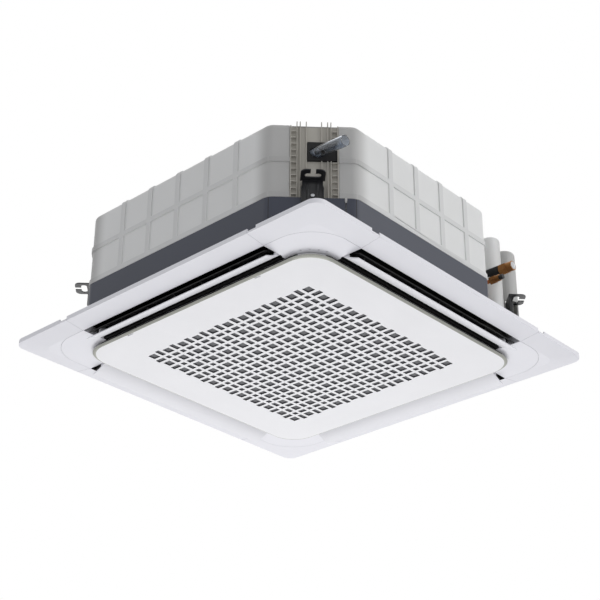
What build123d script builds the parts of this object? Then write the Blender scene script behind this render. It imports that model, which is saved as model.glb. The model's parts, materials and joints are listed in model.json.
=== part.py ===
from build123d import *
import os
from math import cos, radians, sin, sqrt

os.makedirs("parts", exist_ok=True)

# A four-way ceiling cassette air conditioner, in millimetres, +Z up.
# The origin is the centre of the four suspension slots, in the plane of the
# undersides of the hanger plates. The panel faces down, the casing stands above it.
# X and Y run square to the panel's sides. Sides are named right (+X), back (+Y),
# left (-X) and front (-Y). The drain corner is +X -Y and the pipe corner is +X +Y.

# ---------------------------------------------------------------- overall sizes
suspension_pitch = 735.0
hang_height = 145.0
body_width = 840.0
body_height = 295.0
corner_cut = 134.0
corner_rounding = 30.0
band_lift = 4.0
band_height = 100.0
sheet = 1.5
fit_gap = 0.3
skin = 3.0

ceiling = -hang_height
band_bottom = ceiling + band_lift
band_top = band_bottom + band_height
body_top = ceiling + body_height
body_half = body_width / 2
chamfer_reach = (body_width - corner_cut) / sqrt(2)

# the pocket that leaves room for the refrigerant connections
pocket_start = 185.0
pocket_wall = 322.0
pocket_end = 22.0
pocket_rounding = 15.0

# ---------------------------------------------------------------- panel sizes
panel_width = 950.0
panel_corner_r = 27.0
rim_height = 10.5
dish_drop = 7.0
grille_width = 723.0
grille_corner_r = 68.0
grille_drop = 12.6
grille_gap = 5.5
slot_width = 58.0
slot_length = 567.0
slot_wall = 2.5
arc_seam_r = 97.0
seam = 0.4
slot_land = 0.8
rim_notch = (24.0, 6.0)
intake_half = 305.0
intake_corner_r = 40.0

panel_half = panel_width / 2
rim_low = ceiling - rim_height
panel_face = rim_low - dish_drop
panel_back = panel_face + skin
grille_face = panel_face - grille_drop
slot_inner = grille_width / 2 + grille_gap
slot_outer = slot_inner + slot_width
slot_middle = (slot_inner + slot_outer) / 2
slot_end = slot_length / 2
root_depth = 1.5

# ---------------------------------------------------------------- shared helpers
SIDES = {"right": 0, "back": 90, "left": 180, "front": 270}
CORNERS = {"drain": 315, "pipe": 45, "left_back": 135, "left_front": 225}


def radial_plane(angle, height=0.0):
    """A plan plane whose X runs outwards from the centre at the angle."""
    outward = (cos(radians(angle)), sin(radians(angle)), 0)
    return Plane(origin=(0, 0, height), x_dir=outward, z_dir=(0, 0, 1))


def section_plane(angle, reach=0.0, height=0.0, tilt=0.0):
    """An upright plane, X outwards and Y up, tipped outer side down by tilt."""
    out = (cos(radians(angle)), sin(radians(angle)))
    x_dir = (cos(radians(tilt)) * out[0], cos(radians(tilt)) * out[1], -sin(radians(tilt)))
    return Plane(origin=(reach * out[0], reach * out[1], height), x_dir=x_dir, z_dir=(out[1], -out[0], 0))


def finish(piece, name):
    """Label a finished piece and write its file."""
    piece.part.label = name
    export_step(piece.part, f"parts/{name}.step")


def in_pocket(vertex):
    """True for the plan corners of the pipe pocket."""
    return vertex.Y > pocket_start - 1 and vertex.X > pocket_wall - pocket_end - 1


def casing_outline(inset, height):
    """The casing's plan: an octagon with a pocket cut into the pipe corner."""
    near = body_half - corner_cut
    points = [
        (near, -body_half),
        (body_half, -near),
        (body_half, pocket_start),
        (pocket_wall, pocket_start),
        (pocket_wall, body_half - pocket_end),
        (pocket_wall - pocket_end, body_half),
        (-near, body_half),
        (-body_half, near),
        (-body_half, -near),
        (-near, -body_half),
    ]
    with BuildSketch(Plane.XY.offset(height)) as outline:
        with BuildLine():
            Polyline(*points, close=True)
        make_face()
        fillet(outline.vertices().filter_by(lambda v: not in_pocket(v)), corner_rounding)
        fillet(outline.vertices().filter_by(in_pocket), pocket_rounding)
        if inset > 0:
            offset(amount=-inset)
    return outline.sketch


def casing_form(inset, bottom, top, edge_r):
    """A solid of the casing's plan with a rounded top edge."""
    with BuildPart() as form:
        extrude(casing_outline(inset, bottom), amount=top - bottom)
        if edge_r > 0:
            fillet(form.faces().sort_by(Axis.Z)[-1].edges(), edge_r)
    return form.part


def local_box(plane, size, low):
    """A box drawn from its low corner in a plane's own axes."""
    with BuildPart(plane) as block:
        with Locations((low[0] + size[0] / 2, low[1] + size[1] / 2, low[2] + size[2] / 2)):
            Box(*size)
    return block.part


def rod(plane, centre, radius, length):
    """A round bar that rises along the plane's normal from the centre."""
    with BuildPart(plane) as bar:
        with Locations(centre):
            Cylinder(radius, length, align=(Align.CENTER, Align.CENTER, Align.MIN))
    return bar.part


# ---------------------------------------------------------------- decoration panel
def dish(inset, lift, top):
    """The panel's dished outer form, drawn in by inset and raised by lift."""
    rim = panel_width - 2 * inset
    inner = 2 * (slot_outer - inset)
    with BuildPart() as form:
        with BuildSketch(Plane.XY.offset(rim_low + lift)):
            RectangleRounded(rim, rim, panel_corner_r - inset)
        extrude(amount=top - rim_low - lift)
        with BuildSketch(Plane.XY.offset(rim_low + lift)):
            RectangleRounded(rim, rim, panel_corner_r - inset)
        with BuildSketch(Plane.XY.offset(panel_face + lift)):
            RectangleRounded(inner, inner, panel_corner_r - inset)
        loft(ruled=True)
    return form.part


def cap_plan(clear, height):
    """Plan of the four corner covers, drawn in by clear on their inner edges."""
    with BuildSketch(Plane.XY.offset(height)) as plan:
        side = panel_half - slot_end - clear
        middle = slot_end + clear + side / 2
        with GridLocations(2 * middle, 2 * middle, 2, 2):
            Rectangle(side, side)
        inner = 2 * (slot_outer + clear)
        RectangleRounded(inner, inner, arc_seam_r + clear, mode=Mode.SUBTRACT)
    return plan.sketch


dish_outer = dish(0, 0, ceiling)
dish_inner = dish(skin, skin, ceiling + 1)

# vane pivots lie above the slots, near their inner sides
pivot_reach = slot_inner + 15.0
pivot_height = rim_low + 2.0
pivot_pin_r = 3.0
running_gap = 0.08

# walls that carry the air from the casing down to the slots
ledge_reach = 406.0
outer_wall_top = band_bottom - 3.0
ledge_thickness = 2.0
inner_wall_top = band_bottom - 3.0

# screws under the grille's corners hold the panel to the casing
screw_place = 325.0
screw_r = 2.5
screw_hole_r = 2.6
boss_r = 8.0

# indicator lenses follow the grille's corner nearest the drain
lens_r = 2.4
lens_gap = 0.1
lens_arc_r = 76.5
lens_step = 14.0
lens_middle = -42.0
lens_angles = [lens_middle + lens_step * (i - 1.5) for i in range(4)]
lens_centre = grille_width / 2 - grille_corner_r
lens_places = [
    (lens_centre + lens_arc_r * cos(radians(a)), -lens_centre + lens_arc_r * sin(radians(a)))
    for a in lens_angles
]

with BuildPart() as panel_frame:
    add(dish_outer)
    add(dish_inner, mode=Mode.SUBTRACT)
    extrude(cap_plan(slot_land, panel_face - 1), amount=2 * dish_drop + rim_height, mode=Mode.SUBTRACT)
    for angle in SIDES.values():
        slot_plane = radial_plane(angle, panel_back - root_depth)
        with BuildSketch(slot_plane):
            with Locations((slot_middle, 0)):
                Rectangle(slot_width + 2 * slot_wall, slot_length + 2 * slot_wall)
        extrude(amount=outer_wall_top - panel_back + root_depth)
        with BuildSketch(radial_plane(angle, outer_wall_top - ledge_thickness)):
            with Locations(((ledge_reach + slot_outer + slot_wall) / 2, 0)):
                Rectangle(slot_outer + slot_wall - ledge_reach, slot_length + 2 * slot_wall)
        extrude(amount=ledge_thickness)
    for angle in SIDES.values():
        with BuildSketch(radial_plane(angle, panel_face - 1)):
            with Locations((slot_middle, 0)):
                Rectangle(slot_width, slot_length)
        extrude(amount=outer_wall_top - ledge_thickness - panel_face + 1, mode=Mode.SUBTRACT)
        with BuildSketch(radial_plane(angle, outer_wall_top - ledge_thickness - 1)):
            with Locations(((slot_inner + ledge_reach) / 2, 0)):
                Rectangle(ledge_reach - slot_inner, slot_length)
        extrude(amount=ledge_thickness + 2, mode=Mode.SUBTRACT)
        with BuildSketch(section_plane(angle, pivot_reach, pivot_height)):
            Circle(pivot_pin_r + running_gap)
        extrude(amount=slot_length, both=True, mode=Mode.SUBTRACT)
    with BuildSketch(Plane.XY.offset(panel_back - root_depth)):
        RectangleRounded(2 * intake_half + 2 * slot_wall, 2 * intake_half + 2 * slot_wall, intake_corner_r)
    extrude(amount=inner_wall_top - panel_back + root_depth)
    with BuildSketch(Plane.XY.offset(panel_face - 1)):
        RectangleRounded(2 * intake_half, 2 * intake_half, intake_corner_r - slot_wall)
    extrude(amount=hang_height, mode=Mode.SUBTRACT)
    with BuildSketch(Plane.XY.offset(panel_back - root_depth)):
        with GridLocations(2 * screw_place, 2 * screw_place, 2, 2):
            Circle(boss_r)
    extrude(amount=band_bottom - panel_back + root_depth)
    with BuildSketch(Plane.XY.offset(panel_face - 1)):
        with GridLocations(2 * screw_place, 2 * screw_place, 2, 2):
            Circle(screw_hole_r)
        with Locations(*lens_places):
            Circle(lens_r + lens_gap)
    extrude(amount=hang_height, mode=Mode.SUBTRACT)
finish(panel_frame, "panel_frame")

# corner covers of the panel, relieved where the slots' walls stand and notched at the rim
cap_names = {"drain": (1, -1), "pipe": (1, 1), "left_back": (-1, 1), "left_front": (-1, -1)}
for corner, (x_sign, y_sign) in cap_names.items():
    with BuildPart() as corner_cap:
        add(dish_outer)
        add(dish_inner, mode=Mode.SUBTRACT)
        plan = cap_plan(slot_land + seam, panel_face - 1)
        extrude(plan, amount=2 * dish_drop + rim_height, mode=Mode.INTERSECT)
        with BuildSketch(Plane.XY.offset(panel_face - 1)):
            with Locations((x_sign * panel_half / 2, y_sign * panel_half / 2)):
                Rectangle(panel_half, panel_half)
        extrude(amount=hang_height, mode=Mode.INTERSECT)
        for angle in SIDES.values():
            with BuildSketch(radial_plane(angle, panel_back - root_depth - fit_gap)):
                with Locations((slot_middle, 0)):
                    relief = 2 * (slot_wall + fit_gap)
                    Rectangle(slot_width + relief, slot_length + relief)
            extrude(amount=hang_height, mode=Mode.SUBTRACT)
        for angle in SIDES.values():
            for end in (-1, 1):
                notch_end = slot_end + slot_land + seam + rim_notch[0]
                notch_size = (2 * skin, notch_end - slot_end, 2 * rim_notch[1])
                notch_side = min(end * slot_end, end * notch_end)
                notch_low = (panel_half - 2 * skin + 1, notch_side, ceiling - rim_notch[1])
                add(local_box(radial_plane(angle), notch_size, notch_low), mode=Mode.SUBTRACT)
    finish(corner_cap, f"corner_cover_{corner}")


# ---------------------------------------------------------------- intake grille
trim_wall = 3.0
trim_lift = 1.0
trim_height = 4.7
skirt_clear = 1.3
skirt_top = panel_face - skirt_clear
tray_wall = 2.7
tray_skin = 3.0
tray_edge_r = 1.0
lattice_pitch = 48.6
large_hole = 20.5
small_hole = 12.5
large_count = 11
small_count = large_count - 1
small_reach = 5.0
lattice_depth = 2.0
lattice_margin = 6.0

grille_half = grille_width / 2
tray_half = grille_half - trim_wall - fit_gap
tray_corner_r = grille_corner_r - trim_wall - fit_gap
tray_back = grille_face + tray_skin
field = (large_count - 1) * lattice_pitch + large_hole
field_half = field / 2 + small_reach
net_room_half = field_half + lattice_margin

# the grille hangs on two lugs at its front edge
hinge_inset = 2.5
hinge_y = hinge_inset - grille_half
hinge_z = grille_face + 3.6
hinge_places = (-200.0, 200.0)
hinge_pin_r = 1.6
hinge_bore_r = 1.65
lug_width = 16.0
lug_depth = 6.5
ear_width = 12.0
ear_depth = 12.0
ear_reach = lug_width / 2 + fit_gap + ear_width

# two sprung catches at its back edge
catch_places = (-170.0, 170.0)
catch_half_width = 15.0
catch_length = 28.0
catch_thickness = 3.0
catch_pad_half = 7.0
catch_pad_thickness = 2.2
catch_stand = 0.8
nose_half = 10.0
nose_length = 7.0
nose_clear = 0.7
rail_width = 3.0
rail_height = 4.5
skirt_inner = tray_half - tray_wall
catch_low = tray_back + fit_gap


def square_ring(half, corner_r, wall, low, high):
    """An upright rounded square ring, given by its outer half width."""
    inner = half - wall
    with BuildPart() as ring:
        with BuildSketch(Plane.XY.offset(low)):
            RectangleRounded(2 * half, 2 * half, corner_r)
            RectangleRounded(2 * inner, 2 * inner, corner_r - wall, mode=Mode.SUBTRACT)
        extrude(amount=high - low)
    return ring.part


def lattice_holes(height):
    """Plaid of large and small square holes, the small rows reaching further out."""
    border = 2 * field_half - small_reach
    with BuildSketch(Plane.XY.offset(height)) as holes:
        with GridLocations(lattice_pitch, lattice_pitch, large_count, large_count):
            Rectangle(large_hole, large_hole)
        with GridLocations(lattice_pitch, lattice_pitch, small_count, small_count):
            Rectangle(small_hole, small_hole)
        with GridLocations(lattice_pitch, lattice_pitch, small_count, large_count):
            Rectangle(small_hole, large_hole)
        with GridLocations(lattice_pitch, lattice_pitch, large_count, small_count):
            Rectangle(large_hole, small_hole)
        with GridLocations(lattice_pitch, border, small_count, 2):
            Rectangle(small_hole, small_reach)
        with GridLocations(border, lattice_pitch, 2, small_count):
            Rectangle(small_reach, small_hole)
    return holes.sketch


hinge_plane = Plane(origin=(0, hinge_y, hinge_z), x_dir=(0, 1, 0), z_dir=(1, 0, 0))

with BuildPart() as intake_grille:
    with BuildSketch(Plane.XY.offset(grille_face)):
        RectangleRounded(2 * tray_half, 2 * tray_half, tray_corner_r)
    extrude(amount=tray_skin)
    fillet(intake_grille.faces().sort_by(Axis.Z)[0].edges(), tray_edge_r)
    add(square_ring(tray_half, tray_corner_r, tray_wall, tray_back - root_depth, skirt_top))
    with BuildSketch(Plane.XY.offset(grille_face + lattice_depth)):
        RectangleRounded(2 * net_room_half, 2 * net_room_half, lattice_margin)
    extrude(amount=tray_skin, mode=Mode.SUBTRACT)
    extrude(lattice_holes(grille_face - 1), amount=2 * tray_skin, mode=Mode.SUBTRACT)
    for place in hinge_places:
        ear_low = (place - ear_reach, fit_gap - grille_half, grille_face + tray_edge_r)
        add(local_box(Plane.XY, (2 * ear_reach, ear_depth, skirt_top - ear_low[2]), ear_low))
        notch_half = lug_width / 2 + fit_gap
        notch_size = (2 * notch_half, ear_depth - trim_wall, 2 * ear_depth)
        notch_low = (place - notch_half, -grille_half - 1, grille_face - 1)
        add(local_box(Plane.XY, notch_size, notch_low), mode=Mode.SUBTRACT)
        bore_length = 2 * ear_reach - 2
        bore = rod(hinge_plane.offset(place - bore_length / 2), (0, 0, 0), hinge_bore_r, bore_length)
        add(bore, mode=Mode.SUBTRACT)
    for place in catch_places:
        rail_reach = catch_half_width + fit_gap + rail_width / 2
        rail_low = skirt_inner - catch_length - 1
        for side in (-1, 1):
            low = (place + side * rail_reach - rail_width / 2, rail_low, tray_back - root_depth)
            add(local_box(Plane.XY, (rail_width, catch_length + 2, rail_height + root_depth), low))
        window_half = catch_pad_half + fit_gap
        window = (2 * window_half, 2 * tray_wall, catch_pad_thickness + 2 * fit_gap)
        add(
            local_box(Plane.XY, window, (place - window_half, skirt_inner - 1, catch_low)),
            mode=Mode.SUBTRACT,
        )
finish(intake_grille, "intake_grille")

with BuildPart() as grille_edge_trim:
    trim_low = grille_face + trim_lift
    add(square_ring(grille_half, grille_corner_r, trim_wall, trim_low, trim_low + trim_height))
    for place in hinge_places:
        opening = ear_reach + fit_gap
        size = (2 * opening, 2 * trim_wall, 2 * ear_depth)
        low = (place - opening, -grille_half - 1, grille_face - 1)
        add(local_box(Plane.XY, size, low), mode=Mode.SUBTRACT)
    for place in catch_places:
        window_half = catch_pad_half + fit_gap
        window = (2 * window_half, 2 * trim_wall, catch_pad_thickness + 2 * fit_gap)
        low = (place - window_half, tray_half - 1, catch_low)
        add(local_box(Plane.XY, window, low), mode=Mode.SUBTRACT)
finish(grille_edge_trim, "grille_edge_trim")

with BuildPart() as grille_hinge_lugs:
    for place in hinge_places:
        lug_low = hinge_z - hinge_pin_r - 0.7
        low = (place - lug_width / 2, fit_gap - grille_half, lug_low)
        add(local_box(Plane.XY, (lug_width, lug_depth, panel_face - lug_low), low))
        pin_length = 2 * ear_reach - 4
        add(rod(hinge_plane.offset(place - pin_length / 2), (0, 0, 0), hinge_pin_r, pin_length))
finish(grille_hinge_lugs, "grille_hinge_lugs")

for side, place in zip(("left", "right"), catch_places):
    with BuildPart() as catch:
        back = skirt_inner - fit_gap
        low = (place - catch_half_width, back - catch_length, catch_low)
        add(local_box(Plane.XY, (2 * catch_half_width, catch_length, catch_thickness), low))
        pad_length = grille_half + catch_stand - back + root_depth
        low = (place - catch_pad_half, back - root_depth, catch_low + fit_gap)
        add(local_box(Plane.XY, (2 * catch_pad_half, pad_length, catch_pad_thickness), low))
        nose_top = panel_face - nose_clear
        low = (place - nose_half, back - 2 * nose_length, catch_low + root_depth)
        add(local_box(Plane.XY, (2 * nose_half, nose_length, nose_top - low[2]), low))
    finish(catch, f"grille_catch_{side}")

# air filter in the tray, above the lattice
filter_wall = 10.0
filter_half = net_room_half + filter_wall
filter_bar = 3.0
filter_top = panel_back + 1.0
mesh_thickness = 0.5
mesh_low = grille_face + lattice_depth + 0.5
bar_count = 4

with BuildPart() as filter_frame:
    add(square_ring(filter_half, filter_wall + 2, filter_wall, tray_back, filter_top))
    bar_low = mesh_low + mesh_thickness + 0.2
    with BuildSketch(Plane.XY.offset(bar_low)):
        span = 2 * (filter_half - filter_wall / 2)
        step = span / (bar_count + 1)
        with GridLocations(step, 0, bar_count, 1):
            Rectangle(filter_bar, span)
        with GridLocations(0, step, 1, bar_count):
            Rectangle(span, filter_bar)
    extrude(amount=filter_top - bar_low)
finish(filter_frame, "filter_frame")

with BuildPart() as filter_mesh:
    mesh_half = filter_half - filter_wall - fit_gap
    with BuildSketch(Plane.XY.offset(mesh_low)):
        RectangleRounded(2 * mesh_half, 2 * mesh_half, lattice_margin - fit_gap)
    extrude(amount=mesh_thickness)
finish(filter_mesh, "filter_mesh")

# ---------------------------------------------------------------- vanes
vane_tilt = 26.0
vane_chord = 44.9
vane_lead = 3.3
vane_drop = 10.8
vane_thickness = 2.6
vane_crown = 1.4
vane_edge_r = 0.9
vane_end_gap = 2.0
arm_thickness = 3.0
arm_width = 12.0
pin_reach = 5.5
fin_r = 17.0
fin_out = 14.0
fin_pitch = 85.0
fin_thickness = 2.0
fin_count = 7
deflector = (4.0, 34.0)
deflector_rise = 3.0
deflector_thickness = 2.0

vane_half = slot_end - vane_end_gap
vane_top = vane_thickness - vane_drop

# geared stepper motors turn the vanes, each with its shaft off its own centre
motor_can_r = 8.2
motor_can_length = 12.0
motor_shaft_offset = 4.0
motor_face = slot_end + slot_wall + fit_gap


def vane_plane(angle):
    """The section through a vane, its origin on the pivot and X along the closed blade."""
    return section_plane(angle, pivot_reach, pivot_height, vane_tilt)


def blade_section(plane):
    """The white blade's section, slightly crowned downwards."""
    inner = -vane_lead
    outer = vane_chord - vane_lead
    middle = (inner + outer) / 2
    with BuildSketch(plane) as section:
        with BuildLine():
            low = ThreePointArc((inner, -vane_drop), (middle, -vane_drop - vane_crown), (outer, -vane_drop))
            high = ThreePointArc((outer, vane_top), (middle, vane_top - vane_crown), (inner, vane_top))
            Line(low @ 1, high @ 0)
            Line(high @ 1, low @ 0)
        make_face()
        fillet(section.vertices(), vane_edge_r)
    return section.sketch


for side, angle in SIDES.items():
    plane = vane_plane(angle)
    with BuildPart() as vane_blade:
        extrude(blade_section(plane), amount=vane_half, both=True)
        for end in (-1, 1):
            arm_plane = plane.offset(end * (vane_half - arm_thickness / 2))
            with BuildSketch(arm_plane):
                with BuildLine():
                    Polyline(
                        (-vane_lead, -vane_drop + 1),
                        (arm_width, -vane_drop + 1),
                        (arm_width, vane_top + 2),
                        (pivot_pin_r + 1.5, 2.5),
                        (-vane_lead - 1.2, 2.5),
                        close=True,
                    )
                make_face()
                Circle(pivot_pin_r + 1.5)
            extrude(amount=arm_thickness / 2, both=True)
            pin_plane = plane.offset(end * (vane_half + pin_reach / 2 - 1))
            with BuildSketch(pin_plane):
                Circle(pivot_pin_r)
            extrude(amount=pin_reach / 2 + 1, both=True)
    finish(vane_blade, f"vane_{side}")

    with BuildPart() as vane_deflector:
        with BuildSketch(plane):
            with Locations(((deflector[0] + deflector[1]) / 2, deflector_rise)):
                Rectangle(deflector[1] - deflector[0], deflector_thickness)
        extrude(amount=vane_half - 2 * arm_thickness, both=True)
        for i in range(fin_count):
            fin_plane = plane.offset((i - (fin_count - 1) / 2) * fin_pitch)
            with BuildSketch(fin_plane):
                with Locations((fin_out, vane_top + fit_gap)):
                    Circle(fin_r)
                    Rectangle(3 * fin_r, 2 * fin_r, align=(Align.CENTER, Align.MAX), mode=Mode.SUBTRACT)
            extrude(amount=fin_thickness / 2, both=True)
    finish(vane_deflector, f"vane_deflector_{side}")

with BuildPart() as vane_motors:
    for angle in SIDES.values():
        drive_plane = section_plane(angle, pivot_reach, pivot_height).offset(motor_face)
        with BuildSketch(drive_plane):
            with Locations((0, motor_shaft_offset)):
                Circle(motor_can_r)
        extrude(amount=motor_can_length)
        with BuildSketch(drive_plane):
            Circle(pivot_pin_r + running_gap)
        extrude(amount=pin_reach + 2, mode=Mode.SUBTRACT)
finish(vane_motors, "vane_motors")

# ---------------------------------------------------------------- indicator and screws
lens_stand = 0.4
board_thickness = 1.6
board_size = (10.0, 58.0)

with BuildPart() as indicator_lenses:
    with BuildSketch(Plane.XY.offset(panel_face - lens_stand)):
        with Locations(*lens_places):
            Circle(lens_r)
    extrude(amount=skin + lens_stand)
finish(indicator_lenses, "indicator_lenses")

with BuildPart() as indicator_board:
    middle = (
        lens_centre + lens_arc_r * cos(radians(lens_middle)),
        -lens_centre + lens_arc_r * sin(radians(lens_middle)),
    )
    with BuildSketch(Plane.XY.offset(panel_back)):
        with Locations(Location((*middle, 0), lens_middle)):
            Rectangle(*board_size)
    extrude(amount=board_thickness)
finish(indicator_board, "indicator_board")

screw_head_r = 5.0
screw_head = 3.0
with BuildPart() as panel_screws:
    with BuildSketch(Plane.XY.offset(panel_face - screw_head)):
        with GridLocations(2 * screw_place, 2 * screw_place, 2, 2):
            Circle(screw_head_r)
    extrude(amount=screw_head)
    with BuildSketch(Plane.XY.offset(panel_face)):
        with GridLocations(2 * screw_place, 2 * screw_place, 2, 2):
            Circle(screw_r)
    extrude(amount=band_bottom + sheet + 3 - panel_face)
finish(panel_screws, "panel_screws")

seal_inset = 1.0
seal_gap = 0.5
with BuildPart() as panel_seal:
    seal_low = outer_wall_top
    seal_height = band_bottom - seal_low
    extrude(casing_outline(seal_inset, seal_low), amount=seal_height)
    seal_room = casing_outline(body_half - ledge_reach - seal_gap, seal_low)
    extrude(seal_room, amount=seal_height, mode=Mode.SUBTRACT)
    with BuildSketch(Plane.XY.offset(seal_low)):
        with GridLocations(2 * screw_place, 2 * screw_place, 2, 2):
            Circle(boss_r + seal_gap)
    extrude(amount=seal_height, mode=Mode.SUBTRACT)
    for angle in SIDES.values():
        with BuildSketch(radial_plane(angle, seal_low)):
            with Locations((pivot_reach, -motor_face - motor_can_length / 2)):
                Rectangle(2 * motor_can_r + 1, motor_can_length + 2)
        extrude(amount=seal_height, mode=Mode.SUBTRACT)
finish(panel_seal, "panel_seal")

# ---------------------------------------------------------------- base and casing
band_inset = 1.0
flange_width = 13.0
slit_place = 70.0
slit_width = 3.0
slit_height = 42.0
plate_half = 30.0
plate_length = 46.0
kerb_height = 76.0
cover_rib = 3.0
cover_skin = 3.0
cover_edge_r = 12.0
rib_width = 15.0
rib_rows = {
    "right": (-171.0, -80.0, 11.0, 102.0),
    "back": (-188.0, -96.0, -4.0, 88.0, 180.0),
    "left": (-188.0, -96.0, -4.0, 88.0, 180.0),
    "front": (-180.0, -88.0, 4.0, 96.0, 188.0),
}
belt_height = 13.0
foot_height = 14.0
rib_wrap = 26.0
top_opening = 270.0
top_plate_half = 300.0
top_corner_r = 40.0
notch_left = 48.0
notch_right = 56.0
notch_depth = 12.0

notch_width = notch_left + notch_right
cover_top = body_top - 2.0
band_outer = chamfer_reach - band_inset

# hanger brackets, one on each corner, hooked round a suspension rod
plate_sheet = 2.5
bracket_half = 26.5
bracket_tip_margin = 21.3
bracket_tip_r = 12.0
leg_half = 22.0
leg_clear = 10.0
slot_cavity = (14.0, 35.0)
slot_mouth = 11.0
bolt_heights = (-75.0, -112.0)
bolt_r = 3.0
bolt_hole_r = 3.1
bolt_head_r = 5.5
bolt_head = 4.0

slot_reach = suspension_pitch / sqrt(2)
bracket_tip = slot_reach + bracket_tip_margin
bracket_middle = (band_outer + bracket_tip) / 2


def bolt_planes(angle):
    """Outward-facing planes at the band's face, one for each bracket bolt."""
    out = (cos(radians(angle)), sin(radians(angle)))
    return [
        Plane(origin=(band_outer * out[0], band_outer * out[1], height), z_dir=(out[0], out[1], 0))
        for height in bolt_heights
    ]


tray_edge = band_inset + sheet
tray_reach = 345.0
tray_points = [
    (pocket_wall - tray_edge, pocket_start - tray_edge),
    (body_half - band_inset, pocket_start - tray_edge),
    (body_half - band_inset, body_half - corner_cut),
    (tray_reach, sqrt(2) * band_outer - tray_reach),
    (tray_reach, body_half - pocket_end),
    (pocket_wall - tray_edge, body_half - pocket_end),
]

with BuildPart() as base_frame:
    extrude(casing_outline(band_inset, band_bottom), amount=band_height)
    extrude(
        casing_outline(band_inset + sheet, band_bottom + sheet),
        amount=band_height,
        mode=Mode.SUBTRACT,
    )
    extrude(
        casing_outline(band_inset + flange_width, band_bottom),
        amount=band_height,
        mode=Mode.SUBTRACT,
    )
    with BuildSketch(Plane.XY.offset(band_bottom)):
        with BuildLine():
            Polyline(*tray_points, close=True)
        make_face()
    extrude(amount=sheet)
    for corner, angle in CORNERS.items():
        plate_low = (band_outer - sheet / 2 - plate_length, -plate_half, 0)
        plate_size = (plate_length, 2 * plate_half, sheet)
        add(local_box(radial_plane(angle, band_bottom), plate_size, plate_low))
    kerb_low = (band_outer - sheet, -plate_half, 0)
    add(local_box(radial_plane(CORNERS["pipe"], band_bottom), (sheet, 2 * plate_half, kerb_height), kerb_low))
    with BuildSketch(Plane.XY.offset(band_bottom - 1)):
        with GridLocations(2 * screw_place, 2 * screw_place, 2, 2):
            Circle(screw_hole_r)
    extrude(amount=sheet + 2, mode=Mode.SUBTRACT)
    for angle in CORNERS.values():
        for plane in bolt_planes(angle):
            add(rod(plane.offset(-2 * sheet), (0, 0, 0), bolt_hole_r, 4 * sheet), mode=Mode.SUBTRACT)
    slit_low = (band_outer - 2 * sheet, slit_place - slit_width / 2, band_top - slit_height)
    slit_size = (4 * sheet, slit_width, slit_height + 1)
    add(local_box(radial_plane(CORNERS["drain"]), slit_size, slit_low), mode=Mode.SUBTRACT)
finish(base_frame, "base_frame")

for corner, angle in CORNERS.items():
    with BuildPart() as bracket:
        with BuildSketch(radial_plane(angle)) as hooked:
            with Locations((bracket_middle, 0)):
                Rectangle(bracket_tip - band_outer, 2 * bracket_half)
            tips = hooked.vertices().sort_by(lambda v: v.X**2 + v.Y**2)[-2:]
            fillet(tips, bracket_tip_r)
            with Locations((slot_reach, 0)):
                RectangleRounded(*slot_cavity, slot_cavity[0] / 2 - 0.5, mode=Mode.SUBTRACT)
            with Locations(((slot_reach + bracket_tip + 1) / 2, 0)):
                Rectangle(bracket_tip + 1 - slot_reach, slot_mouth, mode=Mode.SUBTRACT)
        extrude(amount=plate_sheet)
        leg_low = (band_outer, -leg_half, band_bottom + leg_clear)
        leg_size = (plate_sheet, 2 * leg_half, plate_sheet - leg_low[2])
        add(local_box(radial_plane(angle), leg_size, leg_low))
        for plane in bolt_planes(angle):
            add(rod(plane.offset(-1), (0, 0, 0), bolt_hole_r, plate_sheet + 2), mode=Mode.SUBTRACT)
    finish(bracket, f"hanger_bracket_{corner}")

with BuildPart() as bracket_bolts:
    for angle in CORNERS.values():
        for plane in bolt_planes(angle):
            add(rod(plane.offset(-sheet - 0.4), (0, 0, 0), bolt_r, sheet + plate_sheet + 0.5))
            with BuildSketch(plane.offset(plate_sheet)):
                RegularPolygon(bolt_head_r, 6)
            extrude(amount=bolt_head)
finish(bracket_bolts, "bracket_bolts")


def rib_regions(bottom, top):
    """Boxes that leave the ribs, belt and foot of the cover's outer layer."""
    with BuildPart() as regions:
        for side, rows in rib_rows.items():
            for row in rows:
                low = (body_half - rib_wrap, row - rib_width / 2, bottom)
                add(local_box(radial_plane(SIDES[side]), (rib_wrap + 1, rib_width, top - bottom), low))
        belt_low = (bottom + top) / 2 - belt_height / 2
        with BuildSketch(Plane.XY.offset(belt_low)):
            Rectangle(body_width + 2, body_width + 2)
        extrude(amount=belt_height)
        with BuildSketch(Plane.XY.offset(bottom)):
            Rectangle(body_width + 2, body_width + 2)
        extrude(amount=foot_height)
    return regions.part


# the refrigerant pipes leave the pocket along X, at these places (Y, Z)
pipe_hole_gap = 1.0
gas_line = (290.0, 45.0)
liquid_line = (248.0, -1.0)
gas_r = 7.9
liquid_r = 4.8
sleeve_r = 13.0
passage_reach = 30.0


def pipe_plane(line, reach):
    """A plane across one of the refrigerant pipes, which run along X."""
    return Plane(origin=(reach, line[0], line[1]), z_dir=(1, 0, 0))


def pipe_bore(line, start, radius):
    """A cutting bar along one of the pipes, for the holes and bores round it."""
    return rod(pipe_plane(line, start), (0, 0, 0), radius, 2 * passage_reach)


pipe_passage = [
    pipe_bore(gas_line, pocket_wall - passage_reach, gas_r + pipe_hole_gap),
    pipe_bore(liquid_line, pocket_wall - passage_reach, liquid_r + pipe_hole_gap),
]

cover_outer = casing_form(0, band_top, body_top, cover_edge_r + cover_rib)
cover_body = casing_form(cover_rib, band_top, cover_top, cover_edge_r)
wall = cover_rib + cover_skin
cover_room = casing_form(wall, band_top - 1, cover_top - cover_skin, cover_edge_r - cover_skin)

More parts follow.
